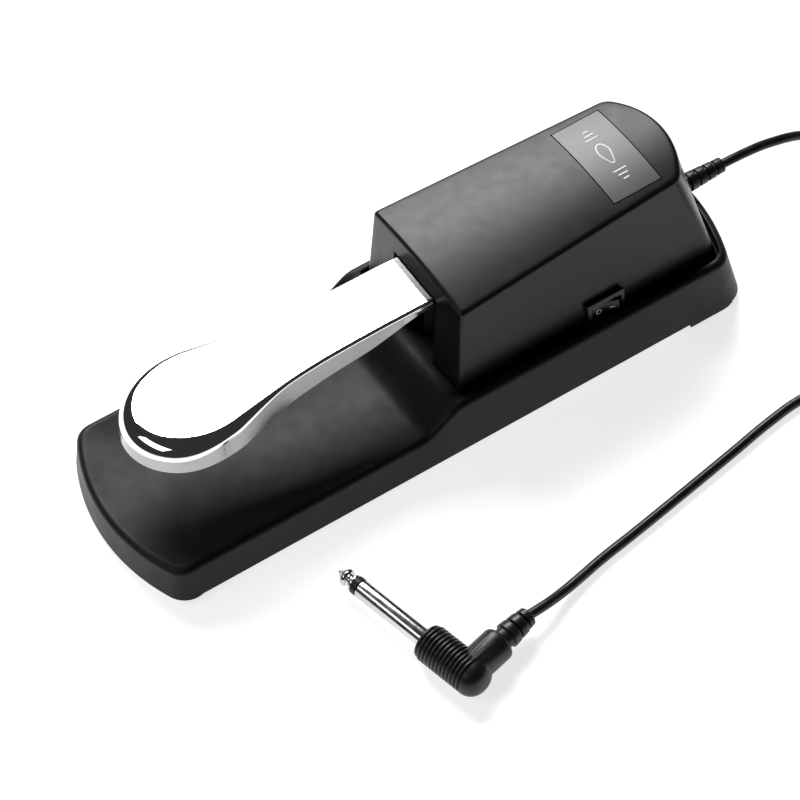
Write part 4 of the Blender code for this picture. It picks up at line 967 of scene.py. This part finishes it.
def make_fine_switch():
    turn = rocker_matrix()
    body = block("switch_fine", (-12 * MM, -6.4 * MM, -4 * MM), (0.5 * MM, 6.4 * MM, 4 * MM))
    low = (GAP, -BEZEL_LENGTH / 2, -BEZEL_HEIGHT / 2)
    bezel = block("bezel", low, (1.8 * MM, BEZEL_LENGTH / 2, BEZEL_HEIGHT / 2), 0.45 * MM, 4)
    boolean(body, bezel, "UNION")
    boolean(body, block("bezel_window", (-6 * MM, -5.9 * MM, -3.1 * MM), (9 * MM, 5.9 * MM, 3.1 * MM)))
    body.data.transform(turn)
    smooth(body, 30)
    stand_for(body, "polarity_switch_body", "base", "switch_black")
    reach = 4.95 * MM
    valley = 2.9 * MM
    wing = 0.9 * MM
    face = []
    for n in range(-12, 13):
        along = n / 12
        rise = math.sqrt(along**2 + 0.02) - math.sqrt(0.02)
        height = valley + wing * rise / (math.sqrt(1.02) - math.sqrt(0.02))
        face.append((height, along * reach))
    back = [(-0.2 * MM, reach - 0.1 * MM), (-1.4 * MM, 3 * MM), (-2.2 * MM, 0)]
    back += [(-1.4 * MM, -3 * MM), (-0.2 * MM, -reach + 0.1 * MM)]
    outline = face + back
    rings = [[(x, y, z) for x, y in outline] for z in (-2.75 * MM, 2.75 * MM)]
    rocker = loft("rocker_fine", rings)
    bm = bmesh.new()
    bm.from_mesh(rocker.data)
    sharp = [e for e in bm.edges if len(e.link_faces) == 2 and e.calc_face_angle() > 0.9]
    bmesh.ops.bevel(bm, geom=sharp, offset=0.18 * MM, segments=3, profile=0.5, affect="EDGES")
    bm.to_mesh(rocker.data)
    bm.free()
    place = turn @ Matrix.Translation((-ROCKER_AXIS_IN, 0, 0)) @ Matrix.Rotation(-ROCKER_TILT, 4, "Z")
    rocker.data.transform(place)
    smooth(rocker, 30)
    stand_for(rocker, "polarity_rocker", "rocker", "switch_black")
    make_rocker_marks(rocker, place)


def ring_shape(centre, outer, inner, steps=40):
    """A flat ring as pairs of points, for marks."""
    pairs = []
    for n in range(steps):
        turn = 2 * math.pi * n / steps
        way = Vector((math.cos(turn), math.sin(turn)))
        pairs.append((Vector(centre) + way * outer, Vector(centre) + way * inner))
    return pairs


def bar_shape(start, stop, width, steps=12):
    """A straight bar with round ends, as pairs of points across it."""
    start = Vector(start)
    stop = Vector(stop)
    along = (stop - start).normalized()
    across = Vector((-along.y, along.x))
    edge = []
    half = width / 2
    for n in range(steps + 1):
        turn = math.pi / 2 * (1 - n / steps)
        edge.append(start - along * half * math.sin(turn) + across * half * math.cos(turn))
    for n in range(steps + 1):
        turn = math.pi / 2 * n / steps
        edge.append(stop + along * half * math.sin(turn) + across * half * math.cos(turn))
    return [(p, p - across * 2 * (p - start).dot(across)) for p in edge]


MARK_LIFT = 0.02 * MM
MARK_THICK = 0.03 * MM


def lay_mark(name, pairs, closed, tree, to_world, direction, body):
    """Lays a band, given as pairs of points in its own plane, onto a surface found along a direction."""
    direction = Vector(direction).normalized()
    points = []
    for pair in pairs:
        for flat in pair:
            start = to_world(flat)
            hit = tree.ray_cast(start, direction)[0]
            points.append((hit if hit else start) - direction * MARK_LIFT)
    faces = []
    count = len(pairs)
    for k in range(count if closed else count - 1):
        after = (k + 1) % count
        faces.append((k * 2, k * 2 + 1, after * 2 + 1, after * 2))
    mark = add_mesh(name, points, faces, looks["marks"])
    solid = mark.modifiers.new("thickness", "SOLIDIFY")
    solid.thickness = MARK_THICK
    solid.offset = 0
    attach(mark, body)
    return mark


def tree_of(obj):
    mesh = obj.data
    points = [v.co for v in mesh.vertices]
    return BVHTree.FromPolygons(points, [tuple(p.vertices) for p in mesh.polygons])


def make_rocker_marks(rocker, place):
    tree = tree_of(rocker)
    out = (place.to_3x3() @ Vector((1, 0, 0))).normalized()

    def to_world(p):
        return place @ Vector((8 * MM, p.x, p.y))

    circle = ring_shape((-2.5 * MM, 0), 1.05 * MM, 0.72 * MM)
    lay_mark("rocker_mark_off", circle, True, tree, to_world, -out, "rocker")
    bar = bar_shape((1.6 * MM, 0), (3.3 * MM, 0), 0.36 * MM)
    lay_mark("rocker_mark_on", bar, False, tree, to_world, -out, "rocker")


# Label mark: a plain pictogram of a pedal plate between two sets of bars, with no lettering


def make_label_mark():
    tree = tree_of(bpy.data.objects["label_fine"])
    middle = (LABEL_FRONT + LABEL_REAR) / 2

    def to_world(p):
        return Vector((p.x, middle + p.y, 80 * MM))

    plate = []
    for n in range(72):
        turn = 2 * math.pi * n / 72
        x = 5.2 * MM * math.cos(turn)
        y = (2.6 - 1.0 * smoothstep((math.cos(turn) + 0.4) / 1.2)) * MM * math.sin(turn)
        plate.append((Vector((x, y)), Vector((x * 0.86, y * 0.72))))
    lay_mark("label_mark_plate", plate, True, tree, to_world, (0, 0, -1), "base")
    bars = [(-8.2, 2.3), (-10.2, 1.6), (-12.2, 0.9), (8.2, 2.3), (10.2, 1.6), (12.2, 0.9)]
    for n, (x, half) in enumerate(bars):
        bar = bar_shape((x * MM, -half * MM), (x * MM, half * MM), 0.7 * MM)
        lay_mark(f"label_mark_bar_{n + 1}", bar, False, tree, to_world, (0, 0, -1), "base")


# Strain relief and plug


def make_fine_relief():
    length = RELIEF_END - RELIEF_PLACE.y
    start = 9.5 * MM
    rings = 4
    pitch = (length - start) / rings
    profile = [(0, 5.2 * MM), (2 * MM, 5.2 * MM), (2 * MM, 3.5 * MM), (7.0 * MM, 3.5 * MM)]
    profile.append((start, 3.5 * MM))
    for n in range(rings):
        radius = 3.5 * MM - 0.7 * MM * n / (rings - 1)
        low = start + n * pitch
        profile += [(low, radius - 0.75 * MM), (low + 0.85 * MM, radius - 0.75 * MM)]
        profile += [(low + 0.85 * MM, radius + 0.05 * MM), (low + pitch, radius)]
    profile.append((length, 1.78 * MM))
    fine = rounded(profile, 0.22 * MM, 3)
    relief = lathe("relief_fine", fine, RELIEF_PLACE, Vector((0, 1, 0)))
    stand_for(relief, "strain_relief", "base", "moulded_black")
    return relief


PLUG_RIBS = 13
PLUG_RIBBED = 19.6 * MM
PLUG_BODY_RADIUS = 6.6 * MM
# One rib's section: share of the pitch, and how far it lies below the crest in mm
PLUG_RIB = [(0.1, 0.22), (0.22, 0.04), (0.4, 0), (0.6, 0)]
PLUG_RIB += [(0.74, 0.06), (0.84, 0.3), (0.9, 0.62), (1.0, 0.62)]


def turned_plug_piece(node, profile, origin, axis, slot, steps, smooth_angle=35):
    piece = lathe(node + "_fine", profile, origin, axis, steps=steps, smooth_angle=smooth_angle)
    return stand_for(piece, node, "base", slot)


def make_plug_shaft():
    tip = [(31.9, 0.5), (31.9, 3.05), (32.9, 3.05), (33.2, 2.1), (33.9, 1.85), (34.5, 2.0), (34.9, 2.85)]
    tip += [(35.6, 3.15), (36.3, 3.0), (38.9, 0.7), (39.5, 0.35), (39.7, 0.05)]
    tip = rounded(in_mm(tip), 0.3 * MM, 4)
    ring = [(29.9, 1.0), (29.9, 3.2), (30.6, 3.22), (30.7, 3.05)]
    ring += [(31.0, 3.05), (31.1, 3.22), (31.7, 3.2), (31.7, 1.0)]
    sleeve = [(0.3, 1.0), (0.3, 3.175), (29.3, 3.175), (29.6, 2.95), (29.6, 1)]
    sleeve = rounded(in_mm(sleeve), 0.12 * MM, 3)
    return [
        turned_plug_piece("plug_tip", tip, PLUG_SHOULDER, PLUG_AXIS, "nickel", 72, 50),
        turned_plug_piece("plug_insulator", in_mm(ring), PLUG_SHOULDER, PLUG_AXIS, "moulded_black", 72),
        turned_plug_piece("plug_sleeve", sleeve, PLUG_SHOULDER, PLUG_AXIS, "nickel", 96),
    ]


def make_plug_body():
    pitch = PLUG_RIBBED / PLUG_RIBS
    profile = [(0, 1.0 * MM), (0, PLUG_BODY_RADIUS - 1.1 * MM)]
    for n in range(PLUG_RIBS):
        crest = PLUG_BODY_RADIUS - (0.5 * MM if n == 0 else 0)
        for share, drop in PLUG_RIB:
            profile.append((-(n + share) * pitch, crest - drop * MM))
    dome_start = PLUG_RIBBED + 0.5 * MM
    dome = 25.6 * MM - dome_start
    for n in range(13):
        angle = math.radians(90 * n / 12.2)
        profile.append((-dome_start - dome * math.sin(angle), PLUG_BODY_RADIUS * math.cos(angle) ** 0.8))
    body = lathe("plug_body_fine", profile, PLUG_SHOULDER, PLUG_AXIS, steps=80, smooth_angle=50)
    arm = [(0, 1.0), (0, 5.9), (14.0, 5.9), (14.8, 5.7), (15.3, 5.2), (15.6, 4.4), (15.6, 1.0)]
    arm = rounded(in_mm(arm), 0.5 * MM, 4)
    boolean(body, lathe("plug_arm", arm, PLUG_ELBOW, PLUG_ARM, steps=80), "UNION")
    smooth(body, 50)
    return stand_for(body, "plug_body", "base", "moulded_black")


def make_plug_boot():
    boot = [(15.9, 1.5), (15.9, 3.7), (18.0, 3.7), (18.2, 4.5), (21.1, 4.3), (21.1, 2.9)]
    boot += [(22.0, 2.9), (22.0, 4.1), (25.1, 3.9), (25.1, 2.5), (26.0, 2.5), (26.0, 3.6)]
    boot += [(28.2, 3.4), (28.7, 2.7), (28.7, 1.78)]
    boot = rounded(in_mm(boot), 0.25 * MM, 4)
    return turned_plug_piece("plug_boot", boot, PLUG_ELBOW, PLUG_ARM, "moulded_black", 80)


def make_fine_plug():
    return [*make_plug_shaft(), make_plug_body(), make_plug_boot()]


def make_tie():
    """A band drawn tight round the turns."""
    centre_angle = math.radians(215)
    way = Vector((math.cos(centre_angle), math.sin(centre_angle), 0))
    along = Vector((-way.y, way.x, 0))
    origin = Vector((*COIL_CENTRE, 0)) * MM
    places = [turn_place(n) for n in range(len(TURNS))]
    rows = []
    for n in range(60):
        turn = 2 * math.pi * n / 60
        way_out = Vector((math.cos(turn), math.sin(turn)))
        far = max(places, key=lambda p: Vector(p).dot(way_out))
        rows.append((Vector(far) * MM, way_out))
    points = []
    faces = []
    sections = [(-2, 1.8), (2, 1.8), (2, 2.3), (-2, 2.3)]
    for centre, way_out in rows:
        for offset, reach in sections:
            p = centre + way_out * reach * MM
            p.y = max(p.y, 0.02 * MM + (reach - 1.8) * 0.01 * MM)
            points.append(origin + way * p.x + Vector((0, 0, p.y)) + along * offset * MM)
    for k in range(60):
        for n in range(4):
            a, b = k * 4 + n, k * 4 + (n + 1) % 4
            c, d = (k + 1) % 60 * 4 + (n + 1) % 4, (k + 1) % 60 * 4 + n
            faces.append((a, b, c, d))
    tie = add_mesh("tie_fine", points, faces, None)
    return stand_for(tie, "cord_tie", "base", "moulded_black")


# Floor and light


FLOOR_GLOW = 0.75
WORLD_STRENGTH = 0.03
FLOOR_DROP = 0.02 * MM


def make_floor():
    look = Shader("pale_floor", (0.8, 0.8, 0.8), 0.6, specular=0.1)
    look.tint(look.noise(0.6), (0.78, 0.78, 0.78))
    look.set("Emission Color", (1, 1, 1, 1))
    look.set("Emission Strength", FLOOR_GLOW)
    size = 3
    corners = [(-size, -size, 0), (size, -size, 0), (size, size, 0), (-size, size, 0)]
    floor = add_mesh("floor", corners, [(0, 1, 2, 3)], look.material, smooth=False)
    floor.location.z = -FLOOR_DROP


def make_light(name, place, target, size, power):
    data = bpy.data.lights.new(name, "AREA")
    data.shape = "RECTANGLE"
    data.size, data.size_y = size
    data.energy = power
    data.color = WHITE_LIGHT
    light = bpy.data.objects.new(name, data)
    bpy.context.scene.collection.objects.link(light)
    light.location = place
    light.rotation_mode = "QUATERNION"
    light.rotation_quaternion = (Vector(target) - Vector(place)).to_track_quat("-Z", "Y")
    return light


def make_world():
    world = bpy.data.worlds.new("studio")
    bpy.context.scene.world = world
    world.use_nodes = True
    background = world.node_tree.nodes["Background"]
    background.inputs["Color"].default_value = (1, 1, 1, 1)
    background.inputs["Strength"].default_value = WORLD_STRENGTH


make_camera()
looks = make_materials()
dress_nodes(looks)
cord = make_cord(looks)
make_fine_base()
make_fine_cover()
make_fine_lever()
make_fine_spring()
make_fine_switch()
make_label_mark()
relief = make_fine_relief()
plug = make_fine_plug()
tie = make_tie()
make_floor()
make_world()
make_light("softbox", (-0.95, 0.28, 1.0), (0, 0, 0.03), (0.95, 0.62), 26)
make_light("fill", (0.02, -0.28, 0.245), (0.06, -0.07, 0.01), (0.22, 0.1), 0.17)
bpy.context.scene.view_settings.view_transform = "Standard"
